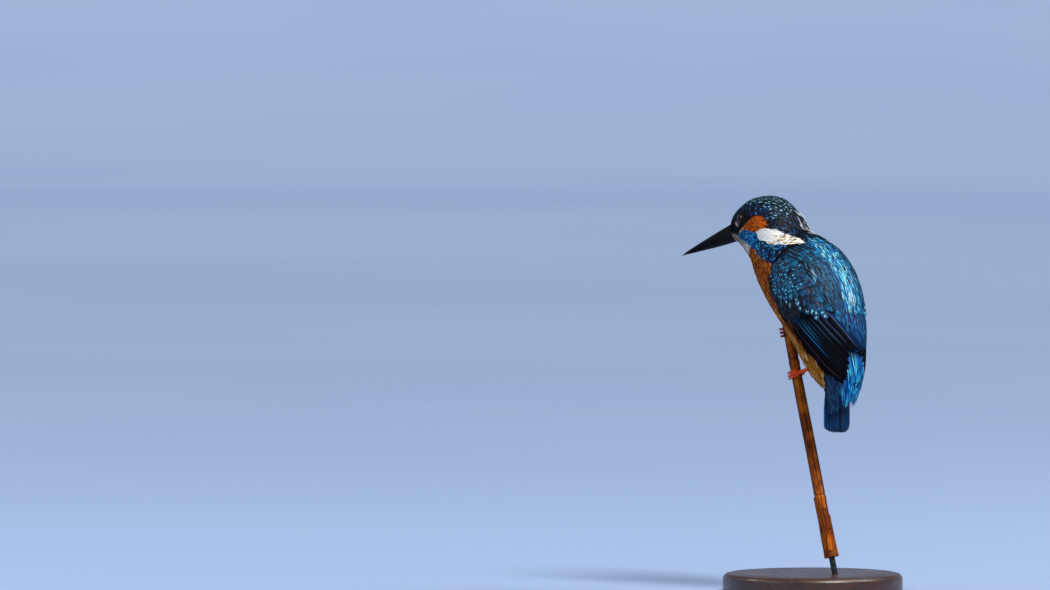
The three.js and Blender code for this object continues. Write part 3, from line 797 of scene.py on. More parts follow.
class Coat:
    """Vanes gathered into one piece of plumage."""

    PATCH = 0.003  # a vane's size on the bake map
    STATION = 11.0  # roughly how far apart two stations are
    BEND = 0.06  # how much vanes curve sideways, as a share of their length
    ASIDE = 0.28  # how far roots stray from their places in a row, and from the row, as shares
    ALONG = 0.3
    LENGTHS = (0.86, 1.14)  # how much lengths and widths vary
    WIDTHS = (0.88, 1.12)

    def __init__(self, name: str, form: BodyForm, seed: int) -> None:
        """Args:
        name: The piece's name.
        form: The surface that it lies on.
        seed: Fixes its chance.
        """
        self.name = name
        self.form = form
        self.rng = np.random.default_rng(seed)
        self.shapes: list[Shape] = []

    def rows(self, u_from: float, u_to: float, row: float, column: float, at: float = 60) -> Roots:
        """Roots in offset rows round the body.

        Args:
            u_from: The first row's station.
            u_to: The last row's station.
            row: The distance between rows, measured along the body at one angle.
            column: The distance between neighbours in a row.
            at: That angle.

        Returns:
            The roots, a little scattered.
        """
        form = self.form
        lengths = np.concatenate([[0], np.cumsum(form.steps[:-1, int(at) + 180] * form.STEP)])
        start, end = np.interp([u_from, u_to], form.u, lengths)
        us, angles = [], []
        for k, place in enumerate(np.arange(start, end, row)):
            u = np.interp(place, lengths, form.u)
            ring = form.surface(np.full(361, u), form.angle)[0]
            round_it = np.concatenate([[0], np.cumsum(np.linalg.norm(np.diff(ring, axis=0), axis=1))])
            count = max(int(round_it[-1] / column), 6)
            aside = self.rng.uniform(-self.ASIDE, self.ASIDE, count)
            spots = (np.arange(count) + 0.5 * (k % 2) + aside) / count
            angles.append(np.interp(np.mod(spots, 1) * round_it[-1], round_it, form.angle))
            step = np.interp(u, form.u, form.steps[:, int(at) + 180])
            us.append(u + self.rng.uniform(-self.ALONG, self.ALONG, count) * row / step)
        return Roots(np.clip(np.concatenate(us), 0, LAST), np.concatenate(angles))

    def _headed(self, roots: Roots, turn: Array | float) -> tuple[Array, Array, Array]:
        """The roots' points, the normals there and the way each vane points."""
        base, normal = self.form.surface(roots.u, roots.angle)
        down = self.form.tailwards(roots.u, roots.angle)
        front = np.cross(down, normal) * roots.side[:, None]
        heading = np.radians(np.broadcast_to(turn, len(roots.u)))[:, None]
        return base, normal, down * np.cos(heading) + front * np.sin(heading)

    def ahead(self, roots: Roots, distance: Array, turn: Array | float) -> Roots:
        """The places at a distance along the vanes from their roots."""
        base, _, way = self._headed(roots, turn)
        u, angle = self.form.project(base + way * distance[:, None], roots.u + distance / self.STATION)
        return Roots(u, angle)

    def lay(
        self, roots: Roots, cut: Cut, dye: Dye, length: Array | float, width: Array | float,
        rise: Pair, turn: Array | float = 0.0, stray: float = 5.0, spots: Array | float = 1.0,
    ) -> None:
        """Lays vanes along the surface from their roots.

        Args:
            roots: Where they grow.
            cut: How each is cut.
            dye: Their colours.
            length: Each one's length.
            width: Each one's full width.
            rise: How far they stand off the surface at the root and at the tip.
            turn: How far they point from tailwards towards the front line, in degrees.
            stray: How much their direction varies, in degrees.
            spots: Scales the share of vanes that carry the dye's spot.
        """
        count = len(roots.u)
        if not count:
            return
        rng = self.rng
        s, t = cut.along(), cut.across()
        length = np.broadcast_to(length, count) * rng.uniform(*self.LENGTHS, count)
        width = np.broadcast_to(width, count) * rng.uniform(*self.WIDTHS, count)
        base, normal, way = self._headed(roots, turn + rng.normal(0, stray, count))
        over = np.cross(way, normal)
        ragged = rng.uniform(-1.0, 0.5, (count, 1, len(t))) * cut.fringe
        ragged = ragged * smoothstep(s, 0.45, 1)[None, :, None]
        along = length[:, None, None] * (s[None, :, None] + ragged)
        half = (width[:, None] / 2 * cut.half(s)[None, :])[..., None]
        swing = rng.normal(0, self.BEND, count)[:, None, None] * length[:, None, None] * s[None, :, None] ** 2
        sideways = half * t[None, None, :] + swing
        points = base[:, None, None] + way[:, None, None] * along[..., None]
        points = points + over[:, None, None] * sideways[..., None]
        guess = roots.u[:, None, None] + along / self.STATION
        lifted = rise[0] + (rise[1] - rise[0]) * s[None, :, None] ** 0.8
        arched = cut.arch * np.sin(np.pi * s)[None, :, None]
        jitter = rng.normal(0, 0.05, (count, 1, 1)) * (0.3 + s[None, :, None])
        height = lifted + arched + jitter - cut.cup * half * t[None, None, :] ** 2
        pigment, accent = dye.mixed(s, rng, count, len(t), spots)
        self.add(self.form.draped(points, guess, height), s, t, pigment, accent, roots)

    def add(self, points: Array, s: Array, t: Array, pigment: Array, accent: Array, roots: Roots) -> None:
        """Adds vanes whose points and colours are known, with their patches of the bake map."""
        count, rows, columns = points.shape[:3]
        vane = stacked(t[None, None, :], s[None, :, None], self.rng.random(count)[:, None, None])
        faces = grid_faces(rows, columns)
        faces = (faces[None] + (np.arange(count) * rows * columns)[:, None, None]).reshape(-1, 4)
        patch = stacked(t[None, :] / 2, s[:, None]) * self.PATCH
        uv = self.form.unwrapped(roots.u, roots.angle)[:, None, None] + patch[None]
        layers = {
            "pigment": pigment.reshape(-1, 4),
            "accent": accent.reshape(-1, 4),
            "vane": vane.reshape(-1, 3),
        }
        uv = np.clip(uv, 0.001, 0.999).reshape(-1, 2)[faces]
        self.shapes.append(Shape(points.reshape(-1, 3), faces, uv.reshape(-1, 2), layers))

    def made(self, material: bpy.types.Material, slot: str, *nodes: str) -> bpy.types.Object:
        """Joins the vanes into one piece.

        Args:
            material: The finish.
            slot: A material slot's name; not used.
            *nodes: The CAD nodes that the piece stands for.

        Returns:
            The piece.
        """
        made = piece(self.name, Shape.joined(self.shapes), material)
        if nodes:
            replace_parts(made, *nodes)
        return made


# ---------- shader trees ----------


class Tree:
    """A node tree and short ways to fill it."""

    def __init__(self, tree: bpy.types.NodeTree) -> None:
        """Args:
        tree: The tree to fill.
        """
        self.tree = tree

    def node(self, kind: str, **settings: object) -> bpy.types.Node:
        """Adds a node.

        Args:
            kind: Its type, without the leading ShaderNode.
            **settings: Properties to set on it.

        Returns:
            The node.
        """
        made = self.tree.nodes.new(f"ShaderNode{kind}")
        for key, value in settings.items():
            setattr(made, key, value)
        return made

    def feed(self, target: Socket, value: Socket | float | Numbers) -> None:
        """Links a socket to another, or sets a plain value on it."""
        if isinstance(value, bpy.types.NodeSocket):
            self.tree.links.new(value, target)
        else:
            target.default_value = value

    def math(self, operation: str, *values: Socket | float, clamp: bool = False) -> Socket:
        """The result of a math node."""
        made = self.node("Math", operation=operation, use_clamp=clamp)
        for socket, value in zip(made.inputs, values):
            self.feed(socket, value)
        return made.outputs[0]

    def times(self, first: Socket, second: Socket | float) -> Socket:
        """One value multiplied by another."""
        return self.math("MULTIPLY", first, second)

    def rest(self, value: Socket) -> Socket:
        """What a value lacks of 1."""
        return self.math("SUBTRACT", 1.0, value)

    def split(self, vector: Socket) -> Sequence[Socket]:
        """A vector's three parts."""
        made = self.node("SeparateXYZ")
        self.feed(made.inputs[0], vector)
        return tuple(made.outputs)

    def combined(self, kind: str, *parts: Socket) -> Socket:
        """A vector ("XYZ") or a colour ("Color") from its three parts."""
        made = self.node(f"Combine{kind}")
        for socket, part in zip(made.inputs, parts):
            self.feed(socket, part)
        return made.outputs[0]

    def ranged(self, value: Socket, start: float, end: float) -> Socket:
        """A share carried smoothly from one value to another."""
        return self.graded(value, 0, 1, start, end)

    def graded(self, value: Socket, low: float, high: float, start: float = 0, end: float = 1) -> Socket:
        """A value carried smoothly from one range to another."""
        made = self.node("MapRange", interpolation_type="SMOOTHSTEP")
        for socket, number in zip(made.inputs, (value, low, high, start, end)):
            self.feed(socket, number)
        return made.outputs[0]

    def blended(self, share: Socket | float, first: Socket | Numbers, second: Socket | Numbers,
                mode: str = "MIX") -> Socket:
        """Two colours mixed.

        Args:
            share: How much of the second.
            first: The first colour.
            second: The second colour.
            mode: How they mix.

        Returns:
            The mixed colour.
        """
        made = self.node("Mix", data_type="RGBA", blend_type=mode)
        self.feed(made.inputs[0], share)
        self.feed(made.inputs[6], first)
        self.feed(made.inputs[7], second)
        return made.outputs[2]

    def layer(self, name: str) -> bpy.types.Node:
        """A node that reads a mesh's named layer."""
        return self.node("Attribute", attribute_name=name)

    def noise(self, vector: Socket, scale: float, detail: float = 2.0) -> Socket:
        """Values of a noise around 0.5."""
        made = self.node("TexNoise")
        self.feed(made.inputs["Vector"], vector)
        made.inputs["Scale"].default_value = scale
        made.inputs["Detail"].default_value = detail
        return made.outputs["Fac"]

    def stretched(self, vector: Socket, scale: Numbers) -> Socket:
        """A vector scaled by different amounts along its axes."""
        made = self.node("Mapping")
        self.feed(made.inputs["Vector"], vector)
        made.inputs["Scale"].default_value = tuple(scale)
        return made.outputs[0]

    def placed(self, group: bpy.types.NodeTree, **inputs: Socket | float | Numbers) -> bpy.types.Node:
        """A group in this tree, with its inputs fed by name."""
        made = self.node("Group", node_tree=group)
        for key, value in inputs.items():
            self.feed(made.inputs[key], value)
        return made

    def bump(self, height: Socket, strength: float, distance: float) -> Socket:
        """A normal from a height in mm."""
        made = self.node("Bump")
        made.inputs["Strength"].default_value = strength
        made.inputs["Distance"].default_value = distance * MM
        self.feed(made.inputs["Height"], height)
        return made.outputs[0]


def group(name: str, inputs: dict[str, str], outputs: dict[str, str]) -> tuple[Tree, Sockets, Sockets]:
    """A new shader group.

    Args:
        name: The group's name.
        inputs: Socket names and types.
        outputs: Socket names and types.

    Returns:
        Its tree, its input sockets and its output sockets, by name.
    """
    tree = bpy.data.node_groups.new(name, "ShaderNodeTree")
    for kind, sockets in (("INPUT", inputs), ("OUTPUT", outputs)):
        for key, value in sockets.items():
            tree.interface.new_socket(name=key, in_out=kind, socket_type=f"NodeSocket{value}")
    made = Tree(tree)
    enter = tree.nodes.new("NodeGroupInput")
    leave = tree.nodes.new("NodeGroupOutput")
    return made, {key: enter.outputs[key] for key in inputs}, {key: leave.inputs[key] for key in outputs}


class Effects:
    """The shader groups that several finishes share."""

    def __init__(self) -> None:
        """Builds the groups."""
        self.barbs = self._barbs()
        self.spot = self._spot()
        self.grain = self._grain()
        self.wear = self._wear()

    @staticmethod
    def _barbs() -> bpy.types.NodeTree:
        """Barbs that leave a vane's shaft at a slant: their shade, height and the shaft."""
        tree, given, out = group(
            "barbs",
            {"Vane": "Vector", "Count": "Float", "Slant": "Float", "Contrast": "Float"},
            {"Shade": "Float", "Height": "Float", "Shaft": "Float"},
        )
        x, y, own = tree.split(given["Vane"])
        across = tree.math("ABSOLUTE", x)
        barb = tree.math("SUBTRACT", y, tree.times(across, given["Slant"]))
        barb = tree.times(barb, given["Count"])
        place = tree.combined("XYZ", barb, tree.times(x, 1.3), tree.times(own, 61.0))
        streak = tree.graded(tree.noise(place, 1.0, 2.5), 0.36, 0.64)
        tree.feed(out["Height"], streak)
        dark = tree.times(tree.rest(streak), given["Contrast"])
        tree.feed(out["Shade"], tree.rest(dark))
        tree.feed(out["Shaft"], tree.graded(across, 0.03, 0.1, 1, 0))
        return tree.tree

    @staticmethod
    def _spot() -> bpy.types.NodeTree:
        """A rounded spot at one place along a vane."""
        tree, given, out = group(
            "spot", {"Vane": "Vector", "Place": "Float", "Long": "Float", "Wide": "Float"}, {"Mask": "Float"}
        )
        x, y, _ = tree.split(given["Vane"])
        along = tree.math("DIVIDE", tree.math("SUBTRACT", y, given["Place"]), given["Long"])
        across = tree.math("DIVIDE", x, given["Wide"])
        squares = (tree.math("POWER", tree.math("ABSOLUTE", off), 2.0) for off in (along, across))
        tree.feed(out["Mask"], tree.graded(tree.math("ADD", *squares), 0.45, 1.3, 1, 0))
        return tree.tree

    @staticmethod
    def _grain() -> bpy.types.NodeTree:
        """Long fibres along one axis: a value for colour and a height."""
        tree, given, out = group(
            "grain", {"Place": "Vector", "Fine": "Float", "Stretch": "Float"},
            {"Tone": "Float", "Height": "Float"},
        )
        across, along = given["Fine"], tree.math("DIVIDE", given["Fine"], given["Stretch"])
        moved = tree.node("VectorMath", operation="MULTIPLY")
        tree.feed(moved.inputs[0], given["Place"])
        tree.feed(moved.inputs[1], tree.combined("XYZ", across, across, along))
        coarse = tree.noise(moved.outputs[0], 1.0, 3.0)
        fine = tree.noise(moved.outputs[0], 3.7, 4.0)
        both = tree.math("ADD", tree.times(coarse, 0.62), tree.times(fine, 0.38))
        tree.feed(out["Tone"], tree.graded(both, 0.34, 0.66))
        tree.feed(out["Height"], fine)
        return tree.tree

    @staticmethod
    def _wear() -> bpy.types.NodeTree:
        """Soft blotches and small scuffs over a surface."""
        tree, given, out = group(
            "wear", {"Place": "Vector", "Size": "Float"}, {"Blotch": "Float", "Scuff": "Float"}
        )
        moved = tree.node("VectorMath", operation="SCALE")
        tree.feed(moved.inputs[0], given["Place"])
        tree.feed(moved.inputs["Scale"], given["Size"])
        tree.feed(out["Blotch"], tree.graded(tree.noise(moved.outputs[0], 1.0, 3.0), 0.38, 0.66))
        tree.feed(out["Scuff"], tree.graded(tree.noise(moved.outputs[0], 9.0, 5.0), 0.55, 0.72))
        return tree.tree


@dataclass(frozen=True)
class Gloss:
    """The constants of a finish's light: set on its shader's own sockets."""

    roughness: float
    specular: float = 0.5
    coat: float = 0.0
    coat_roughness: float = 0.1
    sheen: float = 0.0
    metallic: float = 0.0

    def shader(self, tree: Tree) -> bpy.types.Node:
        """A Principled shader with these constants, linked to the output."""
        made = tree.node("BsdfPrincipled")
        made.inputs["Roughness"].default_value = self.roughness
        made.inputs["Specular IOR Level"].default_value = self.specular
        made.inputs["Coat Weight"].default_value = self.coat
        made.inputs["Coat Roughness"].default_value = self.coat_roughness
        made.inputs["Sheen Weight"].default_value = self.sheen
        made.inputs["Sheen Roughness"].default_value = 0.4
        made.inputs["Metallic"].default_value = self.metallic
        tree.tree.links.new(made.outputs[0], tree.node("OutputMaterial").inputs[0])
        return made


class Finish(ABC):
    """How a piece looks: the constants of its light and the values that vary over it."""

    name: str
    gloss: Gloss

    @abstractmethod
    def values(self, tree: Tree, effects: Effects) -> Sockets:
        """The values that vary over the piece, by the shader's socket."""

    def made(self, effects: Effects) -> bpy.types.Material:
        """Builds the material."""
        made = bpy.data.materials.new(self.name)
        made.use_nodes = True
        made.node_tree.nodes.clear()
        tree = Tree(made.node_tree)
        shader = self.gloss.shader(tree)
        for key, value in self.values(tree, effects).items():
            tree.feed(shader.inputs[key], value)
        return made


@dataclass(frozen=True)
class FeatherFinish(Finish):
    """How one kind of feather looks.

    Attributes:
        name: The material's name.
        gloss: Its light.
        barbs: How many barbs one vane shows.
        contrast: How dark the gaps between the barbs are.
        slant: How far the barbs lean towards the tip.
        shaft: How dark the shaft is drawn.
        spot: The spot's place along the vane, half its length and half its width.
    """

    name: str
    gloss: Gloss
    barbs: float = 12.0
    contrast: float = 0.5
    slant: float = 0.22
    shaft: float = 0.35
    spot: tuple[float, float, float] = (0.8, 0.12, 0.5)

    def values(self, tree: Tree, effects: Effects) -> Sockets:
        """Colour, roughness and normal."""
        vane = tree.layer("vane").outputs["Vector"]
        accent = tree.layer("accent")
        barbs = tree.placed(
            effects.barbs, Vane=vane, Count=self.barbs, Slant=self.slant, Contrast=self.contrast
        )
        place, long, wide = self.spot
        spot = tree.placed(effects.spot, Vane=vane, Place=place, Long=long, Wide=wide)
        share = tree.times(spot.outputs["Mask"], accent.outputs["Alpha"])
        colour = tree.blended(share, tree.layer("pigment").outputs["Color"], accent.outputs["Color"])
        drawn = tree.times(barbs.outputs["Shaft"], self.shaft)
        shade = tree.times(barbs.outputs["Shade"], tree.rest(drawn))
        height = barbs.outputs["Height"]
        dull = self.gloss.roughness
        return {
            "Base Color": tree.blended(1.0, colour, tree.combined("Color", *[shade] * 3), "MULTIPLY"),
            "Roughness": tree.ranged(height, dull + 0.15, dull - 0.05),
            "Normal": tree.bump(height, 0.5, 0.06),
        }


@dataclass(frozen=True)
class SkinFinish(Finish):
    """The skin under the coat: the markings' colours, mottled and finely pored."""

    name: str = "skin"
    gloss: Gloss = Gloss(0.7, 0.12)

    def values(self, tree: Tree, effects: Effects) -> Sockets:
        """Colour, roughness and normal."""
        place = tree.node("TexCoord").outputs["Object"]
        wear = tree.placed(effects.wear, Place=place, Size=700.0)
        pigment = tree.layer("pigment").outputs["Color"]
        dark = tree.blended(1.0, pigment, (0.55, 0.55, 0.6, 1), "MULTIPLY")
        return {
            "Base Color": tree.blended(wear.outputs["Blotch"], pigment, dark),
            "Roughness": tree.ranged(wear.outputs["Scuff"], 0.6, 0.85),
            "Normal": tree.bump(tree.noise(place, 2600.0), 0.5, 0.1),
        }


@dataclass(frozen=True)
class HornFinish(Finish):
    """Bill and claw horn: dark, glossy, finely streaked along its length and paler where it is thin; the
    claws' pale pink base is a painted highlight.
    """

    name: str
    dark: str
    pale: str
    gloss: Gloss = Gloss(0.4, 0.1, 0.04, 0.2)

    def values(self, tree: Tree, effects: Effects) -> Sockets:
        """Colour, roughness and normal."""
        own = tree.layer("vane").outputs["Vector"]
        grain = tree.placed(effects.grain, Place=own, Fine=2.6, Stretch=14.0)
        wear = tree.placed(effects.wear, Place=own, Size=0.35)
        streaks = tree.times(grain.outputs["Tone"], 0.08)
        thin = tree.layer("pigment").outputs["Fac"]
        share = tree.math("ADD", tree.times(streaks, wear.outputs["Blotch"]), thin, clamp=True)
        smooth = self.gloss.roughness
        return {
            "Base Color": tree.blended(share, opaque(self.dark), opaque(self.pale)),
            "Roughness": tree.ranged(wear.outputs["Scuff"], smooth, smooth + 0.22),
            "Normal": tree.bump(grain.outputs["Height"], 0.35, 0.08),
        }


@dataclass(frozen=True)
class EyeFinish(Finish):
    """A wet dark eye: black pupil, deep brown iris and a clear coat."""

    name: str = "eye"
    gloss: Gloss = Gloss(0.2, 0.1, 0.28, 0.02)

    def values(self, tree: Tree, effects: Effects) -> Sockets:
        """Only the colour: the eye is wet and smooth all over."""
        own = tree.layer("vane").outputs["Vector"]
        away = tree.split(own)[1]
        spokes = tree.graded(tree.noise(tree.stretched(own, (5, 0.8, 3)), 2.0, 3.0), 0.35, 0.65)
        iris = tree.blended(spokes, opaque("2c1507"), opaque("120805"))
        pupil = tree.graded(away, 1.35, 1.5, 1, 0)
        rim = tree.graded(away, 2.0, 2.35)
        colour = tree.blended(pupil, iris, opaque("020203"))
        return {"Base Color": tree.blended(rim, colour, opaque("060405"))}


@dataclass(frozen=True)
class ScaledFinish(Finish):
    """The feet's scaly skin: coral red, darker in the creases as painted shade, and worn paler on the scutes.
    """

    name: str = "foot_skin"
    gloss: Gloss = Gloss(0.45, 0.22, 0.04, 0.25)

    def values(self, tree: Tree, effects: Effects) -> Sockets:
        """Colour, roughness and normal."""
        place = tree.node("TexCoord").outputs["Object"]
        wear = tree.placed(effects.wear, Place=place, Size=900.0)
        crease = tree.layer("pigment").outputs["Fac"]
        base = tree.blended(wear.outputs["Blotch"], opaque("f8560a"), opaque("c43404"))
        # The creases between scutes are darkened: painted shade.
        base = tree.blended(crease, opaque("4a1006"), base)
        base = tree.blended(tree.times(wear.outputs["Scuff"], 0.4), base, opaque("f4803c"))
        pores = tree.node("TexVoronoi")
        tree.feed(pores.inputs["Vector"], place)
        pores.inputs["Scale"].default_value = 4200.0
        return {
            "Base Color": base,
            "Roughness": tree.ranged(wear.outputs["Blotch"], 0.36, 0.55),
            "Normal": tree.bump(pores.outputs["Distance"], 0.45, 0.08),
        }


@dataclass(frozen=True)
class FibreFinish(Finish):
    """Reed or wood: fibres along one axis between three colours.

    Attributes:
        name: The material's name.
        colours: Dark, middle and light fibres.
        fine: How fine the fibres are, for each mm.
        stretch: How much longer than wide they are.
        gloss: Its light.
        relief: How deep the fibres are, in mm.
        blotches: How strongly it is blotched with the light colour.
    """

    name: str
    colours: tuple[str, str, str]
    fine: float
    stretch: float
    gloss: Gloss
    relief: float
    blotches: float = 0.6

    def values(self, tree: Tree, effects: Effects) -> Sockets:
        """Colour, roughness and normal."""
        own = tree.layer("vane").outputs["Vector"]
        grain = tree.placed(effects.grain, Place=own, Fine=self.fine, Stretch=self.stretch)
        wear = tree.placed(effects.wear, Place=own, Size=0.12)
        dark, middle, light = (opaque(code) for code in self.colours)
        base = tree.blended(grain.outputs["Tone"], dark, middle)
        base = tree.blended(tree.times(wear.outputs["Blotch"], self.blotches), base, light)
        shade = tree.layer("pigment").outputs["Color"]
        dull = self.gloss.roughness
        return {
            "Base Color": tree.blended(1.0, base, shade, "MULTIPLY"),
            "Roughness": tree.ranged(grain.outputs["Tone"], dull + 0.12, dull - 0.06),
            "Normal": tree.bump(grain.outputs["Height"], 0.6, self.relief),
        }


@dataclass(frozen=True)
class SteelFinish(Finish):
    """Blackened steel wire, drawn along its length and rubbed bright in places."""

    name: str = "blackened_steel"
    gloss: Gloss = Gloss(0.36, metallic=0.9)

    def values(self, tree: Tree, effects: Effects) -> Sockets:
        """Colour, roughness and normal."""
        own = tree.layer("vane").outputs["Vector"]
        grain = tree.placed(effects.grain, Place=own, Fine=6.0, Stretch=30.0)
        wear = tree.placed(effects.wear, Place=own, Size=0.8)
        base = tree.blended(grain.outputs["Tone"], opaque("232427"), opaque("3c3e42"))
        return {
            "Base Color": tree.blended(wear.outputs["Scuff"], base, opaque("6a6c70")),
            "Roughness": tree.ranged(wear.outputs["Blotch"], 0.3, 0.5),
            "Normal": tree.bump(grain.outputs["Height"], 0.3, 0.03),
        }


@dataclass(frozen=True)
class FloorFinish(Finish):
    """The pale floor, with a faint unevenness of tone."""

    name: str = "pale_floor"
    gloss: Gloss = Gloss(0.8, 0.2)

    def values(self, tree: Tree, effects: Effects) -> Sockets:
        """Colour, roughness and normal."""
        wear = tree.placed(effects.wear, Place=tree.node("TexCoord").outputs["Object"], Size=0.5)
        return {
            "Base Color": tree.blended(wear.outputs["Blotch"], opaque("8fa2c2"), opaque("899dbf")),
            "Roughness": tree.ranged(wear.outputs["Scuff"], 0.75, 0.9),
        }


# ---------- eyes, skin and bill ----------


@dataclass
class Eyes:
    """The two eyeballs, in their CAD places."""

    form: BodyForm
    effects: Effects
    radius: float = 3.4
    station: float = 3.04
    angle: float = 83.0
    cornea: float = 0.12
    cornea_reach: float = 0.5  # in radians from the axis
    rings: int = 41
    sides: int = 48

    SIDES = {"left": 1, "right": -1}

    def centre(self, name: str) -> Array:
        """The middle of one eyeball, from its CAD node."""
        low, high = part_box(f"eye_{name}")
        return np.array((low + high) / 2) / MM

    def axis(self, name: str) -> Array:
        """The way one eye looks: straight out of the head and a little forwards."""
        side = self.SIDES[name]
        normal = self.form.surface(np.array([self.station]), np.array([side * self.angle]))[1][0]
        return unit(normal + np.array([0, -0.12, 0.02]))

    def clear(self, roots: Roots, reach: float) -> Array:
        """True for roots that are more than a reach away from both eyes' axes."""
        points = self.form.surface(roots.u, roots.angle)[0]
        keep = np.ones(len(points), bool)
        for name in self.SIDES:
            off = points - self.centre(name)
            axis = self.axis(name)
            beside = np.linalg.norm(off - axis * dot(off, axis)[:, None], axis=1)
            keep &= (beside > reach) | (dot(off, axis) < 0)
        return keep

    def build(self) -> None:
        """Builds both eyeballs."""
        finish = EyeFinish().made(self.effects)
        tilt = np.linspace(0, np.pi, self.rings)
        around = turns(self.sides)
        beside = self.radius * np.sin(tilt)[:, None] * np.ones_like(around)
        radius = self.radius + self.cornea * bell(tilt / self.cornea_reach)
        for name in self.SIDES:
            axis = self.axis(name)
            right = unit(np.cross(axis, [0, 0, 1.0]))
            up = np.cross(right, axis)
            ring = right * np.cos(around)[:, None] + up * np.sin(around)[:, None]
            out = axis * np.cos(tilt)[:, None, None] + ring[None] * np.sin(tilt)[:, None, None]
            points = self.centre(name) + out * radius[:, None, None]
            own = stacked(np.cos(around) * beside, beside, np.sin(around) * beside)
            shape = Shape.of_grid(points, vane=own)
            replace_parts(piece(f"eyeball_{name}", shape, finish), f"eye_{name}")


@dataclass
class Skin:
    """One skin under all the plumage, with sockets and lids for the eyes."""

    form: BodyForm
    eyes: Eyes
    lid_inner: float = 2.3
    lid_outer: float = 2.75
    lid_height: float = 0.26
    crease_radius: float = 3.05
    socket_reach: float = 4.6
    rim: float = 4.1  # how far round an eye's middle the bare dark skin reaches
    end_from: float = 13.2  # the station from which it draws in under the tail coverts
    end_draw: float = 2.2
    rows: int = 150
    column: float = 3.0  # in degrees
    bare: str = "050506"

    LID_SCALES = 24
    FINE_ROWS = (0.62, 0.022)  # how far about the eyes rows are closer, in stations, and how close
    FINE_COLUMNS = (20, 0.8)  # the same for columns, in degrees
    NODES = ("head", "neck", "trunk", "hindquarters", "mantle")

    def depth(self, u: Array, angle: Array) -> Array:
        """How far the skin lies under the coat's surface."""
        zone = Markings.zone(u, angle)
        crown = np.where(zone == Zone.CROWN, 0.3, 0.0)
        return 0.4 + 0.8 * smoothstep(u, 4.0, 8.0) + crown * smoothstep(u, 0.5, 1.5)

    def _lidded(self, points: Array, name: str) -> Array:
        """Points drawn into a socket with a rounded lid round one eye."""
        centre, axis = self.eyes.centre(name), self.eyes.axis(name)
        off = points - centre
        high = dot(off, axis)
        beside = np.linalg.norm(off - axis * high[..., None], axis=-1)
        ball = np.sqrt(np.maximum(self.eyes.radius**2 - beside**2, 0))
        middle = (self.lid_inner + self.lid_outer) / 2
        right = unit(np.cross(axis, [0, 0, 1.0]))
        round_it = np.arctan2(dot(off, np.cross(right, axis)), dot(off, right))
        fold = self.lid_height * bell((beside - middle) / 0.2)
        fold = fold * (1 + 0.25 * np.cos(self.LID_SCALES * round_it))
        crease = -0.14 * bell((beside - self.crease_radius) / 0.16)
        lid = ball + 0.05 + fold + crease - 0.7 * smoothstep(self.lid_inner + 0.1 - beside, 0, 0.25)
        near = (high > 0) & (beside < self.socket_reach)
        share = np.where(near, 1 - smoothstep(beside, 2.95, 3.9), 0)
        target = high + (lid - high) * share
        return points + axis * (target - high)[..., None]

    def build(self, effects: Effects) -> None:
        """Builds the skin."""
        near, fine = self.eyes.station, self.FINE_ROWS
        close = np.arange(near - fine[0], near + fine[0], fine[1])
        u = np.unique(np.concatenate([np.linspace(0, LAST, self.rows), close]))
        near, fine = self.eyes.angle, self.FINE_COLUMNS
        close = np.arange(near - fine[0], near + fine[0], fine[1])
        angle = np.unique(np.concatenate([np.arange(-180, 180, self.column), close, -close]))
        places = np.meshgrid(u, angle, indexing="ij")
        points, normals = self.form.surface(*places)
        drawn_in = self.end_draw * smoothstep(places[0], self.end_from, LAST) ** 2
        points = points - normals * (self.depth(*places) + drawn_in)[..., None]
        for name in self.eyes.SIDES:
            points = self._lidded(points, name)
        middle_first, middle_last = points[0].mean(axis=0), points[-1].mean(axis=0)
        closed = np.concatenate([
            middle_first + (points[:1] - middle_first) * 0.001, points,
            middle_last + (points[-1:] - middle_last) * 0.001,
        ])
        zone = Markings.zone(*places)
        ground = np.array([paint(code) for code in GROUND])[zone]
        rim = np.zeros(zone.shape, bool)
        for name in self.eyes.SIDES:
            rim |= np.linalg.norm(points - self.eyes.centre(name), axis=-1) < self.rim
        ground[rim] = paint(self.bare)
        ground = opaque(np.concatenate([ground[:1], ground, ground[-1:]]))
        rows, columns = closed.shape[:2]
        faces = grid_faces(rows, columns, wrap=True)
        wide = np.concatenate([angle, [180.0]])
        spread = np.meshgrid(np.concatenate([[u[0]], u, [u[-1]]]), wide, indexing="ij")
        grid_uv = self.form.unwrapped(*spread).reshape(-1, 2)
        flat = grid_faces(rows, columns + 1)
        shape = Shape(closed.reshape(-1, 3), faces, grid_uv[flat].reshape(-1, 2),
                      {"pigment": ground.reshape(-1, 4)})
        made = piece("skin", shape, SkinFinish().made(effects))
        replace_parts(made, *self.NODES)


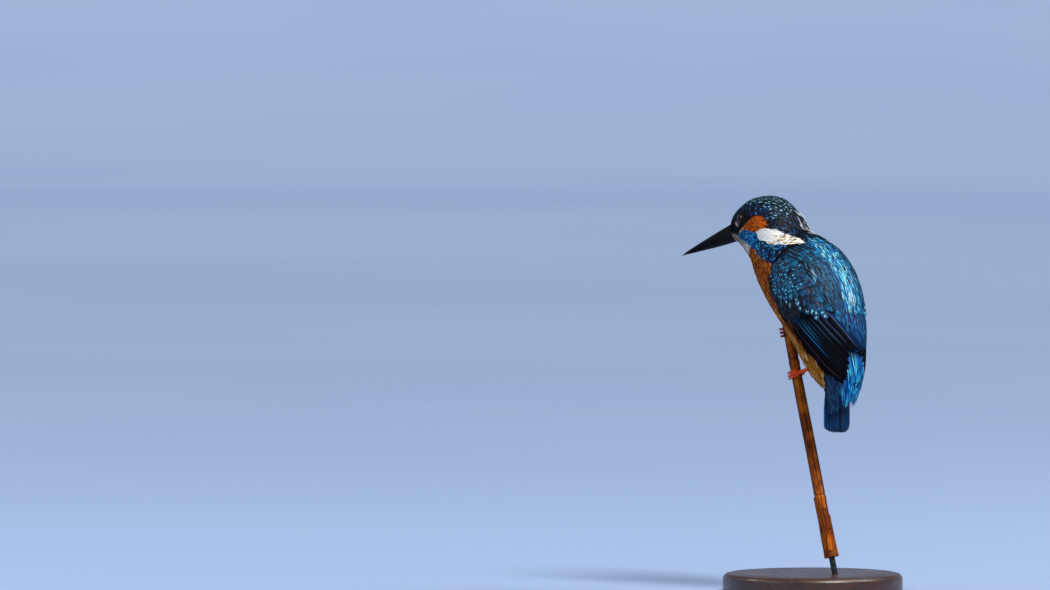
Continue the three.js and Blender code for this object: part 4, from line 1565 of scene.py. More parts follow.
@dataclass
class Bill:
    """Both mandibles: a ridged culmen, a nostril slit in its groove, and a fine cutting edge."""

    form: BodyForm
    length: float = 39.1
    pitch: float = 19.1
    depth: float = 8.9
    width: float = 7.7
    setback: float = 1.5
    gap: float = 0.1
    taper: float = 1.12
    nostril: float = 0.13  # the shares of the length where the slit and the lower ridge's bulge lie
    gonys: float = 0.42
    rings: int = 90
    arch: int = 44
    sole: int = 12

    def placed(self, points: Array) -> Array:
        """Points of the bill's own frame, with -Y along it, put in the head's place."""
        middle, _, _, square, _, _ = (part[0] for part in self.form.ring(np.array([0.0])))
        pitch = Matrix.Rotation(math.radians(self.pitch), 3, "X")
        turn = Matrix.Rotation(math.radians(HEAD_TURN), 3, "Z")
        return points @ np.array(turn @ pitch).T + middle + square * self.setback

    def mandible(self, over: int, length: float, depth: float, width: float) -> Shape:
        """One mandible.

        Args:
            over: 1 for the upper one and -1 for the lower.
            length: Its length.
            depth: Its depth at the base.
            width: Its width at the base.

        Returns:
            Its shape, in the object's frame.
        """
        s = np.linspace(0, 1, self.rings)[:, None]
        narrowing = np.maximum(1 - s**self.taper, 0.03) * np.where(s > 0.985, (1 - s) / 0.015 + 1e-3, 1)
        theta = np.linspace(0, np.pi, self.arch)[None]
        half = width / 2 * narrowing
        x = half * np.cos(theta) * (1 - 0.07 * np.sin(2 * theta) ** 2)
        z = depth * narrowing**0.92 * np.sin(theta) ** 0.85
        ridge = bell(np.cos(theta) / 0.2)
        z = z + 0.3 * ridge * narrowing**0.7
        if over > 0:
            slope = bell((np.abs(np.cos(theta)) - 0.62) / 0.17)
            pit = bell((s - self.nostril) / 0.035) * slope
            groove = 0.35 * smoothstep(s, 0.06, 0.16) * (1 - smoothstep(s, 0.24, 0.64)) * slope
            x = x * (1 - 0.42 * pit - 0.24 * groove)
            z = z * (1 - 0.1 * pit)
        else:
            z = z + 0.35 * ridge * bell((s - self.gonys) / 0.3) * narrowing
        lip = bell(np.sin(theta) / 0.16)
        x = x * (1 + 0.02 * lip)
        flat = np.linspace(-1, 1, self.sole + 2)[None, 1:-1]
        xs = np.hstack([x, flat * half * 0.99])
        zs = np.hstack([z, np.zeros_like(flat * half)])
        droop = -0.25 * smoothstep(s, 0.86, 1.0) if over > 0 else 0.0 * s
        points = stacked(xs, -length * s, over * (zs + self.gap / 2) + droop)
        base = points[:1].mean(axis=1, keepdims=True)
        points = np.concatenate([base + (points[:1] - base) * 0.001, points])
        own = points[..., [0, 2, 1]]
        edge = np.concatenate([lip + 0 * s, 0 * flat + 0 * s], axis=1)
        pale = 0.16 * edge * (1 - smoothstep(s, 0.1, 0.6)) + 0.1 * (1 - smoothstep(s, 0.0, 0.05))
        pale = np.concatenate([pale[:1], pale])
        placed = self.placed(points.reshape(-1, 3)).reshape(points.shape)
        shape = Shape.of_grid(placed, vane=own, pigment=greys(pale))
        if over < 0:
            shape.faces = shape.faces[:, ::-1]
        return shape

    def build(self, effects: Effects) -> None:
        """Builds both mandibles."""
        finish = HornFinish("bill_horn", "010102", "443c38", Gloss(0.42, 0.06, 0.03, 0.2)).made(effects)
        upper = self.mandible(1, self.length, self.depth * 0.53, self.width)
        lower = self.mandible(-1, self.length * 0.985, self.depth * 0.45, self.width * 0.94)
        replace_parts(piece("upper_mandible", upper, finish), "bill_upper")
        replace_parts(piece("lower_mandible", lower, finish), "bill_lower")


# ---------- contour plumage ----------

HAIR = Cut(rows=3, columns=2, root=0.7, widest=0.35, blunt=1.2, cup=0.1, fringe=0.1)
STRAND = Cut(rows=6, columns=2, root=0.55, widest=0.4, blunt=1.25, cup=0.25, fringe=0.05, arch=0.1)
SCALE = Cut(rows=7, columns=6, root=0.6, widest=0.5, blunt=2.6, cup=0.2, fringe=0.07)
LOOSE = Cut(rows=5, columns=6, root=0.5, widest=0.5, blunt=1.6, cup=0.2, fringe=0.2)
LONG = Cut(rows=10, columns=6, root=0.55, widest=0.6, blunt=2.4, cup=0.25, fringe=0.07)


@dataclass(frozen=True)
class Tract:
    """One kind of feather over some zones.

    Attributes:
        zones: The zones that its vanes show in.
        span: Its first and last stations.
        row: The distance between rows.
        column: The distance between neighbours.
        cut: How its vanes are cut.
        dye: Their colours.
        length: Their length at the first and the last station.
        width: Their width at the first and the last station.
        rise: How far they stand off the surface at the root and the tip.
        at: The angle at which the rows' distance is measured.
        turn: How far they point towards the front line at the first and the last station, in degrees.
        stray: How much that varies.
        where: A further test of stations and angles.
        shown: How far along a vane its zone is tested, as a share of its length.
    """

    zones: tuple[Zone, ...]
    span: Pair
    row: float
    column: float
    cut: Cut
    dye: Dye
    length: Pair
    width: Pair
    rise: Pair
    at: float = 60
    turn: Pair = (0, 0)
    stray: float = 6.0
    where: Callable[[Array, Array], Array] | None = None
    shown: float = 0.6

    ROOT_CLEAR = 2.72  # how far roots and tips stay from the middle of an eye
    TIP_CLEAR = 2.48

    def grow(self, coat: Coat, eyes: "Eyes | None" = None) -> None:
        """Grows the tract's vanes into a coat.

        Args:
            coat: The coat.
            eyes: The eyes to keep clear of, if it is near them.
        """
        roots = coat.rows(*self.span, self.row, self.column, self.at)
        if self.where is not None:
            roots = roots.kept(self.where(roots.u, roots.angle))
        sideways = smoothstep(np.abs(roots.angle), 6, 45)
        turn = np.interp(roots.u, self.span, self.turn) * sideways
        length = np.interp(roots.u, self.span, self.length)
        shown = coat.ahead(roots, self.shown * length, turn)
        mask = np.isin(Markings.zone(shown.u, shown.angle), [int(kind) for kind in self.zones])
        if eyes is not None:
            mask &= eyes.clear(roots, self.ROOT_CLEAR) & eyes.clear(shown, self.TIP_CLEAR)
        roots = roots.kept(mask)
        width = np.interp(roots.u, self.span, self.width)
        coat.lay(roots, self.cut, self.dye, length[mask], width, self.rise, turn[mask], stray=self.stray)


def beside_line(start: Pair, end: Pair, reach: float) -> Callable[[Array, Array], Array]:
    """A test for places near a short line over the head.

    Args:
        start: The line's first station and angle.
        end: Its last.
        reach: How near, in stations.

    Returns:
        The test.
    """
    degrees_each = 28.0
    first = np.array([start[0], start[1] / degrees_each])
    way = np.array([end[0], end[1] / degrees_each]) - first

    def near(u: Array, angle: Array) -> Array:
        """True where a place is near the line."""
        off = stacked(u, np.abs(angle) / degrees_each) - first
        share = np.clip(off @ way / (way @ way), 0, 1)
        return np.linalg.norm(off - share[:, None] * way, axis=-1) < reach

    return near


def between(u_from: float, u_to: float, a_from: float, a_to: float) -> Callable[[Array, Array], Array]:
    """A test for places between two stations and two angles from the back line."""

    def inside(u: Array, angle: Array) -> Array:
        """True where a place is inside."""
        away = np.abs(angle)
        return (u > u_from) & (u < u_to) & (away > a_from) & (away < a_to)

    return inside


def stripe_test(low: float, high: float) -> Callable[[Array, Array], Array]:
    """A test for places in the stripe down the back, by their share of its half width."""

    def inside(u: Array, angle: Array) -> Array:
        """True where a place is inside."""
        middle = np.interp(u, [6.7, 7.5, 8.3, 10.5], [2, -3, -7, -7])
        half = np.interp(u, [6.4, 7.1, 8.0, 10.3, 10.9], [12, 21, 19, 20, 26])
        share = np.abs(angle - middle) / half
        return (share >= low) & (share < high)

    return inside


def under_wing(u: Array, angle: Array) -> Array:
    """True where a root is so far below the wing's front edge that its vane stays off the quills."""
    return np.abs(angle) > WingPlan.front.at(u) + np.interp(u, [9.0, 9.5, 10.5, 11.5], [2, 5, 6, 9])


def behind_wing(u: Array, angle: Array) -> Array:
    """True where a root is so far round the back that its tip stays off the wings' inner feathers."""
    left = np.interp(u, [9.5, 9.9, 10.2, 10.6], [28, 13, 2, -10])
    right = np.interp(u, [9.5, 10.0, 10.3, 10.7], [-45, -36, -28, -20])
    return (angle < left) & (angle > right)


@dataclass
class Plumage:
    """The contour feathers of head, neck and body."""

    form: BodyForm
    eyes: Eyes
    effects: Effects

    def _coat(
        self, name: str, seed: int, tracts: Sequence[Tract], finish: bpy.types.Material, slot: str
    ) -> None:
        """Grows tracts into one coat.

        Args:
            name: The coat's name.
            seed: Fixes its chance.
            tracts: Its kinds of feather.
            finish: Their material.
            slot: The plumage's kind, by name; the head's coats keep clear of the eyes.
        """
        coat = Coat(name, self.form, seed)
        for tract in tracts:
            tract.grow(coat, self.eyes if slot == "plumage_head" else None)
        coat.made(finish, slot)

    def face(self) -> None:
        """Lores, ear coverts, cheeks and chin: the smallest feathers."""
        black = Dye("010102", "030304", "06070a", ("0a1c2e",), 0.05)
        rust = Dye("5a2002", "b04a04", "cc5c08", ("e08018", "8e3804"), 0.35, 0.14)
        azure = Dye("02142e", "054a86", "0c72ba", ("48b8ec", "03274e"), 0.42)
        dusk = Dye("010612", "021a38", "053866", ("3aa8d8", "020814", "0a5c98"), 0.5)
        cream = Dye("d6c6a6", "f6eedc", "fffdf8", ("cfa05c", "96784e"), 0.22, 0.08)
        pink = Dye("6a4a48", "dcaca4", "f6d4cc", spread=0.1)
        fore = (Zone.LORE, Zone.CHIN, Zone.MALAR, Zone.EAR)
        tracts = (
            Tract((Zone.LORE,), (0.0, 3.95), 0.45, 0.5, HAIR, black, (1.5, 2.1), (0.5, 0.6), (-0.28, 0.1),
                  90),
            Tract((Zone.EAR,), (3.1, 4.9), 0.42, 0.42, HAIR, rust, (2.4, 3.2), (0.45, 0.5), (-0.3, 0.2), 80,
                  (-15, -35), 8),
            Tract((Zone.MALAR,), (2.5, 4.9), 0.5, 0.52, HAIR, azure, (1.8, 2.8), (0.6, 0.7), (-0.3, 0.15),
                  100,
                  (-10, -25)),
            Tract((Zone.MALAR,), (4.5, 6.6), 0.8, 0.8, STRAND, dusk, (2.4, 3.4), (0.9, 1.2), (-0.35, 0.15),
                  90,
                  (-20, -30)),
            Tract((Zone.CHIN,), (0.0, 4.9), 0.42, 0.45, HAIR, cream, (1.6, 2.8), (0.4, 0.5), (-0.3, 0.35),
                  130,
                  stray=16),
            Tract(fore, (1.8, 3.9), 0.4, 0.4, HAIR, pink, (1.1, 1.3), (0.5, 0.6), (-0.05, 0.3), 90,
                  where=beside_line((2.2, 87), (2.45, 91), 0.1)),
            Tract(fore, (2.6, 3.9), 0.4, 0.4, HAIR, pink, (1.1, 1.3), (0.5, 0.6), (-0.05, 0.3), 90,
                  where=beside_line((2.9, 106), (3.4, 95), 0.07)),
        )
        finish = FeatherFinish("face_feathers", Gloss(0.6, 0.12), barbs=5, contrast=0.35, shaft=0.2)
        self._coat("coat_face", 11, tracts, finish.made(self.effects), "plumage_head")

    def crown(self) -> None:
        """The dark crown with its bright bars, shaggy at the nape, where white strands on the right side are
        painted rim light.
        """
        black = Dye("010102", "020306", "040710", ("06132a",), 0.3)
        top = Dye("010206", "020716", "03102a", ("0b4688",), 0.16, 0.25, "a4f2ff", 0.95)
        flank = Dye("010205", "010512", "030e28", ("083a74", "010206"), 0.36, 0.25, "34a0e4", 0.28)
        dusky = Dye("010205", "010308", "020a1e", ("06305e", "010206"), 0.3, 0.25, "3a94dc", 0.14)
        # nape: dark strands, many of them white as painted rim light.
        nape = Dye("010206", "020a1a", "061c38", ("dce8f0", "f6faf8"), 0.62, 0.15)
        crown = (Zone.CROWN,)
        tracts = (
            Tract(crown, (0.05, 1.75), 0.75, 0.8, HAIR, black, (1.6, 2.4), (0.9, 1.3), (-0.3, 0.05), 20),
            Tract(crown, (1.5, 4.9), 1.25, 1.4, SCALE, top, (2.8, 3.8), (1.8, 2.3), (-0.45, 0.1), 20,
                  where=between(0, 9, 0, 45)),
            Tract(crown, (1.5, 4.9), 1.2, 1.3, SCALE, flank, (2.6, 3.6), (1.6, 2.1), (-0.45, 0.1), 20, (0,
                  -45),
                  where=between(0, 9, 44, 90)),
            Tract(crown, (4.6, 7.0), 1.2, 1.3, SCALE, dusky, (3.8, 4.8), (2.0, 2.3), (-0.45, 0.1), 20, (-45,
                  -60)),
            Tract(crown, (4.8, 7.0), 1.5, 1.2, STRAND, dusky, (4.5, 5.6), (0.8, 0.9), (-0.1, 0.4), 5, (-45,
                  -60),
                  10),
            Tract(crown, (1.6, 5.4), 0.9, 0.8, HAIR, dusky, (2.4, 3.6), (0.3, 0.35), (-0.1, 0.28), 20, (0,
                  -45), 9),
            # White strands on the right of the nape: painted rim light.
            Tract(crown, (4.75, 6.4), 1.8, 1.3, STRAND, nape, (4.4, 5.2), (0.65, 0.7), (-0.1, 1.0), 5,
                  stray=7,
                  where=lambda u, angle: np.abs(angle + 19) < 15),
        )
        finish = FeatherFinish("crown_feathers", Gloss(0.5, 0.18), 9, 0.45, spot=(0.74, 0.18, 0.72))
        self._coat("coat_crown", 12, tracts, finish.made(self.effects), "plumage_head")

    def neck(self) -> None:
        """The pale neck patch, the blue shoulder under it, and black strands painted as the shadow above the
        wing.
        """
        white = Dye("cfc8ba", "f4f1ea", "fdfcf8", spread=0.04)
        streaked = Dye("5a4224", "a88752", "e4d2a8", ("3a2a18", "f6f0e2"), 0.5, 0.15)
        shoulder = Dye("010307", "020c1e", "052044", ("0a4a84", "01040a"), 0.4, 0.25, "63c8ee", 0.3)
        # gap: black strands that stand for the shadow above the wing: painted shadow.
        gap = Dye("000001", "010103", "020407", spread=0.1)
        pale = (Zone.PALE_NECK,)
        tracts = (
            Tract(pale, (4.3, 7.1), 0.55, 0.5, STRAND, white, (3.2, 4.4), (0.55, 0.6), (-0.4, 0.25), 50,
                  (-45, -65)),
            Tract(pale, (5.7, 7.1), 1.1, 0.9, STRAND, streaked, (3.2, 4.0), (0.6, 0.7), (-0.1, 0.35), 50,
                  (-50, -65), 9, between(5.75, 7.2, 36, 74)),
            Tract((Zone.SHOULDER, Zone.MALAR), (4.9, 7.2), 1.1, 1.2, SCALE, shoulder, (2.6, 4.2), (1.6, 2.4),
                  (-0.5, 0.15), 80, (-20, -20), where=between(5.3, 7.3, 55, 120)),
            # Black strands along the wing's upper border: painted shadow.
            Tract((Zone.SHOULDER, Zone.SCAPULAR, Zone.COVERT), (6.6, 7.3), 0.9, 1.0, STRAND, gap, (3.0, 3.4),
                  (1.2, 1.3), (-0.3, 0.3), 60, (-20, -20), where=between(6.75, 7.12, 30, 72)),
        )
        finish = FeatherFinish("neck_feathers", Gloss(0.6, 0.12), 7, 0.25, spot=(0.75, 0.12, 0.4))
        self._coat("coat_neck", 13, tracts, finish.made(self.effects), "plumage_head")

    def breast(self) -> None:
        """The rust breast, belly and undertail, looser towards the tail."""
        upper = Dye("2c0e02", "7c2e04", "a04406", ("c46410", "3c1402"), 0.36, 0.16)
        middle = Dye("3a1502", "9a4404", "bc6210", ("d88a30", "6c2c04"), 0.34, 0.16)
        lower = Dye("5a2a04", "a85e0c", "cc8424", ("ecc080", "7c4206", "b86e14"), 0.5, 0.15)
        blend = Dye("4a2002", "a05008", "c47018", ("dc9c48", "6c3404"), 0.4, 0.16)
        # dark: black strands for the shadow under the wing's front edge: painted shadow.
        dark = Dye("010102", "030306", "05070c", spread=0.1)
        zones = (Zone.BREAST,)
        high = (
            Tract(zones, (4.0, 7.0), 1.0, 1.1, LOOSE, upper, (2.6, 4.2), (1.4, 2.0), (-0.6, 0.05), 150),
            Tract(zones, (6.6, 9.8), 1.25, 1.5, LOOSE, middle, (4.2, 5.4), (2.0, 2.6), (-0.8, 0.1), 140,
                  where=lambda u, angle: (u < 9) | under_wing(u, angle)),
            Tract(zones, (4.6, 9.0), 1.1, 1.0, STRAND, middle, (3.4, 5.0), (0.45, 0.55), (-0.3, 0.25), 140,
                  stray=9),
        )
        low = (
            Tract(zones, (9.2, 10.6), 1.3, 1.4, LOOSE, blend, (5.2, 5.4), (2.2, 2.2), (-0.8, 0.05), 120,
                  where=under_wing, shown=1.0),
            Tract(zones, (10.4, 12.9), 1.6, 1.5, LOOSE, lower, (5.4, 4.0), (2.2, 1.6), (-0.9, 0.0), 120,
                  where=under_wing, shown=1.0),
            Tract(zones, (8.8, 10.4), 1.2, 1.1, STRAND, blend, (5.6, 5.6), (0.5, 0.55), (-0.4, 0.25), 120,
                  stray=7,
                  where=under_wing, shown=1.0),
            Tract(zones, (9.9, 12.8), 1.0, 0.9, STRAND, lower, (6.0, 4.8), (0.55, 0.6), (-0.4, 0.25), 120,
                  stray=5,
                  where=under_wing, shown=1.0),
            Tract(zones, (12.2, 13.9), 1.2, 0.9, LOOSE, lower, (5.5, 4.5), (1.4, 1.1), (-0.9, 0.0), 170,
                  where=between(12.2, 14, 148, 180), shown=0.3),
            # Black strands just below the wing's front edge: painted shadow under the wing.
            Tract(zones, (6.9, 9.7), 1.6, 1.2, STRAND, dark, (4.0, 4.0), (1.2, 1.2), (-0.3, 0.3), 110,
                  where=lambda u, angle: np.abs(angle) < WingPlan.front.at(u) + 6),
        )
        finish = FeatherFinish("breast_feathers", Gloss(0.65, 0.12), 10, 0.35, shaft=0.1).made(self.effects)
        self._coat("coat_breast", 14, high, finish, "plumage_breast")
        self._coat("coat_belly", 24, low, finish, "plumage_breast")

    def back(self) -> None:
        """The brilliant stripe down the back, with a few white strands as a painted highlight."""
        bright = Dye("01142e", "0674b8", "1ab0e8", ("90ecfc", "0a60a8", "02142e"), 0.74, 0.2)
        deep = Dye("010714", "032c58", "074a86", ("158cca", "020a1c", "021636"), 0.6, 0.2)
        lower = Dye("010a1c", "042e5c", "07487e", ("1276b4", "020a1c", "14306c"), 0.5, 0.2)
        # white: strands painted as a highlight on the stripe.
        white = Dye("0a4a7c", "b8dce8", "eaf6f8", spread=0.1)
        zones = (Zone.CROWN, Zone.BACK_STRIPE, Zone.SCAPULAR, Zone.SHOULDER, Zone.QUILL, Zone.COVERT)
        tracts = (
            Tract(zones, (9.3, 10.7), 0.9, 0.9, STRAND, lower, (6.5, 6.0), (0.9, 1.0), (-0.4, 0.2), 5,
                  where=lambda u, angle: stripe_test(0, 1.25)(u, angle) & behind_wing(u, angle)),
            Tract(zones, (6.5, 10.1), 0.8, 0.85, STRAND, deep, (7.0, 9.5), (0.8, 0.95), (-0.5, 0.2), 5,
                  where=lambda u, angle: stripe_test(0.45, 1.15)(u, angle) & behind_wing(u, angle), stray=4),
            Tract(zones, (6.5, 9.35), 0.8, 0.7, STRAND, bright, (6.5, 9.5), (0.7, 0.85), (-0.5, 0.3), 5,
                  where=stripe_test(0, 0.6), stray=4),
            # A row of white strands in the stripe: a painted highlight.
            Tract(zones, (9.05, 9.1), 1.6, 0.7, STRAND, white, (9.5, 9.5), (0.6, 0.6), (0.0, 0.5), 5, stray=2,
                  where=lambda u, angle: (angle > -8) & (angle < -3)),
        )
        finish = FeatherFinish("stripe_feathers", Gloss(0.45, 0.22), 8, 0.4)
        self._coat("coat_back_stripe", 15, tracts, finish.made(self.effects), "plumage_back")

    def rump(self) -> None:
        """The long azure strands of the rump, and the dark feathers beside the tail's root."""
        bright = Dye("01142e", "0674c0", "109fe4", ("54e0fc", "0852a4", "02163a", "0764b4"), 0.76, 0.2)
        dark = Dye("00030a", "01122c", "022448", ("055278", "034068"), 0.4, 0.2)
        tracts = (
            Tract((Zone.TAIL_SIDE,), (11.4, 13.4), 1.4, 1.1, LONG, dark, (9.5, 8.5), (1.5, 1.2), (-1.0,
                  -0.35), 60,
                  stray=2, where=lambda u, angle: (u < 12.9) | (angle > 0)),
            Tract((Zone.RUMP,), (11.25, 13.15), 1.0, 0.72, STRAND, bright, (10.5, 8.0), (0.8, 0.75), (-1.0,
                  0.25), 5,
                  stray=3),
        )
        finish = FeatherFinish("rump_feathers", Gloss(0.45, 0.2), 9, 0.4)
        self._coat("coat_rump", 16, tracts, finish.made(self.effects), "plumage_back")

    def build(self) -> None:
        """Builds every coat of the body."""
        for part in (self.face, self.crown, self.neck, self.breast, self.back, self.rump):
            part()


# ---------- wings and tail ----------


def quill_colours(s: Array, t: Array, edge: str, body: str, end: str, fade: float) -> Array:
    """A flight feather's colours.

    Args:
        s: The rows' shares of its length.
        t: The columns' places across it, below 0 on its leading side.
        edge: The colour of its leading edge.
        body: The colour of its vane.
        end: The colour of its tip.
        fade: How far along the edge's colour starts to fade.

    Returns:
        The colour at each row and column.
    """
    lead = smoothstep(-t, 0.4, 0.7)[None, :, None]
    shown = smoothstep(s, 0.1, 0.35) * (1 - 0.97 * smoothstep(s, fade, fade + 0.25))
    ground = paint(body) + (paint(end) - paint(body)) * smoothstep(s, 0.5, 0.9)[:, None, None]
    return ground + (paint(edge) - ground) * lead * shown[:, None, None]


@dataclass(frozen=True)
class Quill:
    """One flight feather: where it grows and ends, and its colours.

    Attributes:
        root: Its station and angle from the back line where it grows.
        middle: The same halfway along.
        tip: The same where it ends; an angle below 0 lies past the back line.
        edge: The colour of its leading edge.
        body: The colour of its vane.
        end: The colour of its tip.
        follow: How closely it follows the wing's front edge.
        fade: How far along the edge's colour starts to fade.
    """

    root: Pair
    middle: Pair
    tip: Pair
    edge: str
    body: str
    end: str
    follow: float = 0.0
    fade: float = 0.66

    def over(self, s: Array, t: Array) -> Array:
        """The colour at each row and column."""
        return quill_colours(s, t, self.edge, self.body, self.end, self.fade)


FLIGHT = (
    Quill((9.3, 107), (10.93, 89), (12.64, 27), "3a2630", "010103", "020103", 1.0, 0.9),
    Quill((9.47, 98), (10.95, 73), (12.5, 21), "17649c", "010408", "020104", fade=0.5),
    Quill((9.52, 91.5), (10.9, 66.5), (12.36, 18), "166a94", "01060e", "030105", fade=0.36),
    Quill((9.56, 88), (10.86, 61.5), (12.2, 16), "10587c", "01060e", "040106", fade=0.3),
    Quill((9.53, 83), (10.75, 57), (11.97, 13.5), "0a3048", "010408", "040106", fade=0.36),
    Quill((9.59, 75), (10.66, 50.5), (11.74, 11), "183a50", "01050c", "040206", fade=0.44),
    Quill((9.58, 66), (10.51, 44), (11.45, 8.5), "2e4662", "02060f", "040206", fade=0.6),
    Quill((9.53, 58.5), (10.34, 38), (11.2, 8), "2c3658", "020510", "030208", fade=0.74),
)
TERTIALS = (
    Quill((9.43, 49), (10.31, 26), (11.24, -6.5), "40486c", "010309", "01020a", fade=0.8),
    Quill((9.42, 37.5), (10.25, 13.5), (11.26, -22), "0c4674", "032c54", "02203e", fade=0.8),
    Quill((9.46, 24.5), (10.22, -0.5), (11.2, -32), "0a5284", "043c6c", "043460", fade=0.8),
)


@dataclass
class Wing:
    """One folded wing: coverts, scapulars, quills and tertials."""

    form: BodyForm
    effects: Effects
    name: str
    side: int

    UNDER = {1: 0.0, -1: 0.5}  # the right wing's inner feathers lie under the left's
    SET_BACK = ([52, 62, 74, 80, 100], [-0.22, -0.06, 0.26, 0.44, 0.56])  # great coverts, by angle
    SHAFT = 0.06  # how far a shaft stands out of its vane

    def _lie(self, roots: Roots, inner: Edge, outer: Edge) -> Array:
        """The turn that follows the lines between two borders, in degrees."""
        reach = 0.2
        away = np.abs(roots.angle)
        share = (away - inner.at(roots.u)) / (outer.at(roots.u) - inner.at(roots.u))
        ahead = roots.u + reach
        angle = inner.at(ahead) + share * (outer.at(ahead) - inner.at(ahead))
        start, normal = self.form.surface(roots.u, roots.angle)
        way = self.form.surface(ahead, roots.side * angle)[0] - start
        down = self.form.tailwards(roots.u, roots.angle)
        front = np.cross(down, normal) * roots.side[:, None]
        return np.degrees(np.arctan2(dot(way, front), dot(way, down)))

    def _roots(self, coat: Coat, span: Pair, row: float, column: float, zone: Zone) -> Roots:
        """Roots in offset rows on this side, inside one zone."""
        roots = coat.rows(*span, row, column, 70)
        mask = (roots.side == self.side) & (Markings.zone(roots.u, roots.angle) == zone)
        return roots.kept(mask)

    def _coat(self, kind: str, seed: int) -> Coat:
        """An empty coat for one kind of this wing's feathers."""
        return Coat(f"wing_{self.name}_{kind}_feathers", self.form, seed + self.side)

    def coverts(self) -> None:
        """Rows of small rounded feathers with bright dots, growing larger towards the quills."""
        coat = self._coat("covert", 20)
        small = Dye("01080f", "022c48", "044c72", ("066486", "02263e", "28304e"), 0.4, 0.2, "5cdcff", 1.0)
        great = Dye("01080f", "022844", "04446a", ("021a34", "06587c"), 0.3, 0.18, "a4eeff", 1.0)
        # edge: near-black feathers at the wing's front edge, partly their own dark colour and partly painted
        # shade where the wing turns under.
        edge = Dye("000001", "010308", "020812", ("03162a",), 0.2, 0.2)
        plan = (
            ((6.95, 8.75), 1.5, 1.7, SCALE, small, (3.2, 4.2), (2.2, 2.8)),
            ((8.9, 9.5), 3.0, 2.0, LONG, edge, (6.5, 6.5), (2.6, 2.6)),
            ((8.7, 9.22), 2.2, 2.1, SCALE, small, (5.4, 6.0), (2.8, 3.0)),
            ((9.2, 9.36), 2.0, 2.2, LONG, great, (7.8, 7.6), (3.0, 3.0)),
        )
        for layer, (span, row, column, cut, dye, length, width) in enumerate(plan):
            roots = self._roots(coat, span, row, column, Zone.COVERT)
            if layer == 1:
                roots = roots.kept(np.abs(roots.angle) > 60)
            if layer > 1:
                roots.u = roots.u - np.interp(np.abs(roots.angle), *self.SET_BACK)
            across = WingPlan.across(roots.u, roots.angle)
            turn = self._lie(roots, WingPlan.covert_back, WingPlan.front)
            # Towards the front edge the feathers take the near-black dye: partly painted shade.
            dark_from = np.interp(roots.u, [7.2, 8.2, 8.7, 9.3], [0.97, 0.86, 0.78, 0.7])
            dotted = 0.5 * smoothstep(roots.u, 7.3, 7.9) * smoothstep(across, 0.15, 0.6) + 0.06
            chance = dotted if layer < 3 else np.full(len(across), 0.9)
            for group_dye, mask in ((edge, across > dark_from), (dye, across <= dark_from)):
                kept = roots.kept(mask)
                long, wide = (np.interp(kept.u, span, size) for size in (length, width))
                coat.lay(kept, cut, group_dye, long, wide, (-0.55, 0.15), turn[mask], 4, chance[mask])
        spot = (0.8, 0.1, 0.36)
        finish = FeatherFinish(f"covert_feathers_{self.name}", Gloss(0.48, 0.2), 10, 0.4, spot=spot)
        coat.made(finish.made(self.effects), "plumage_wing", f"wing_{self.name}_coverts")

    def scapulars(self) -> None:
        """Long soft feathers from the shoulder over the wing's inner edge."""
        coat = self._coat("scapular", 30)
        dye = Dye("010a12", "02304c", "045074", ("08709a", "011c30", "044a74"), 0.5, 0.2, "2c9cc8", 0.28)
        # gap: black strands for the shade between scapulars and coverts: painted shade.
        gap = Dye("000001", "010206", "020812", spread=0.1)
        # grey: pale grey-lilac strands painted as a highlight.
        grey = Dye("0a1420", "7c88a4", "b4bccc", spread=0.1)
        for cut, row, column, length, width, rise, own, test in (
            (LONG, 1.7, 1.9, 7.5, 3.2, (-0.45, 0.15), dye, between(6, 10, 0, 180)),
            (STRAND, 1.9, 2.0, 6.0, 0.9, (0.0, 0.3), dye, between(6, 10, 0, 180)),
            # Black strands along the coverts' border: painted shade in the groove between scapulars and
            # coverts.
            (STRAND, 1.0, 1.1, 4.6, 1.3, (-0.2, 0.3), gap,
             lambda u, angle: (u < 8.4) & (np.abs(np.abs(angle) - WingPlan.covert_back.at(u) + 2.5) < 2.5)),
            # A few grey-lilac strands: a painted highlight.
            (STRAND, 1.5, 1.2, 5.0, 0.6, (0.1, 0.4), grey, between(8.2, 8.55, 36.5, 41)),
        ):
            roots = self._roots(coat, (6.95, 9.75), row, column, Zone.SCAPULAR)
            ends = roots.u < 9.75 - 0.02 * np.maximum(np.abs(roots.angle) - 15, 0)
            roots = roots.kept(test(roots.u, roots.angle) & ends)
            turn = self._lie(roots, WingPlan.scapular_back, WingPlan.covert_back)
            coat.lay(roots, cut, own, length, width, rise, turn, stray=5)
        spot = (0.6, 0.3, 0.22)
        finish = FeatherFinish(f"scapular_feathers_{self.name}", Gloss(0.48, 0.2), 14, 0.4, spot=spot)
        coat.made(finish.made(self.effects), "plumage_wing", f"wing_{self.name}_scapulars")

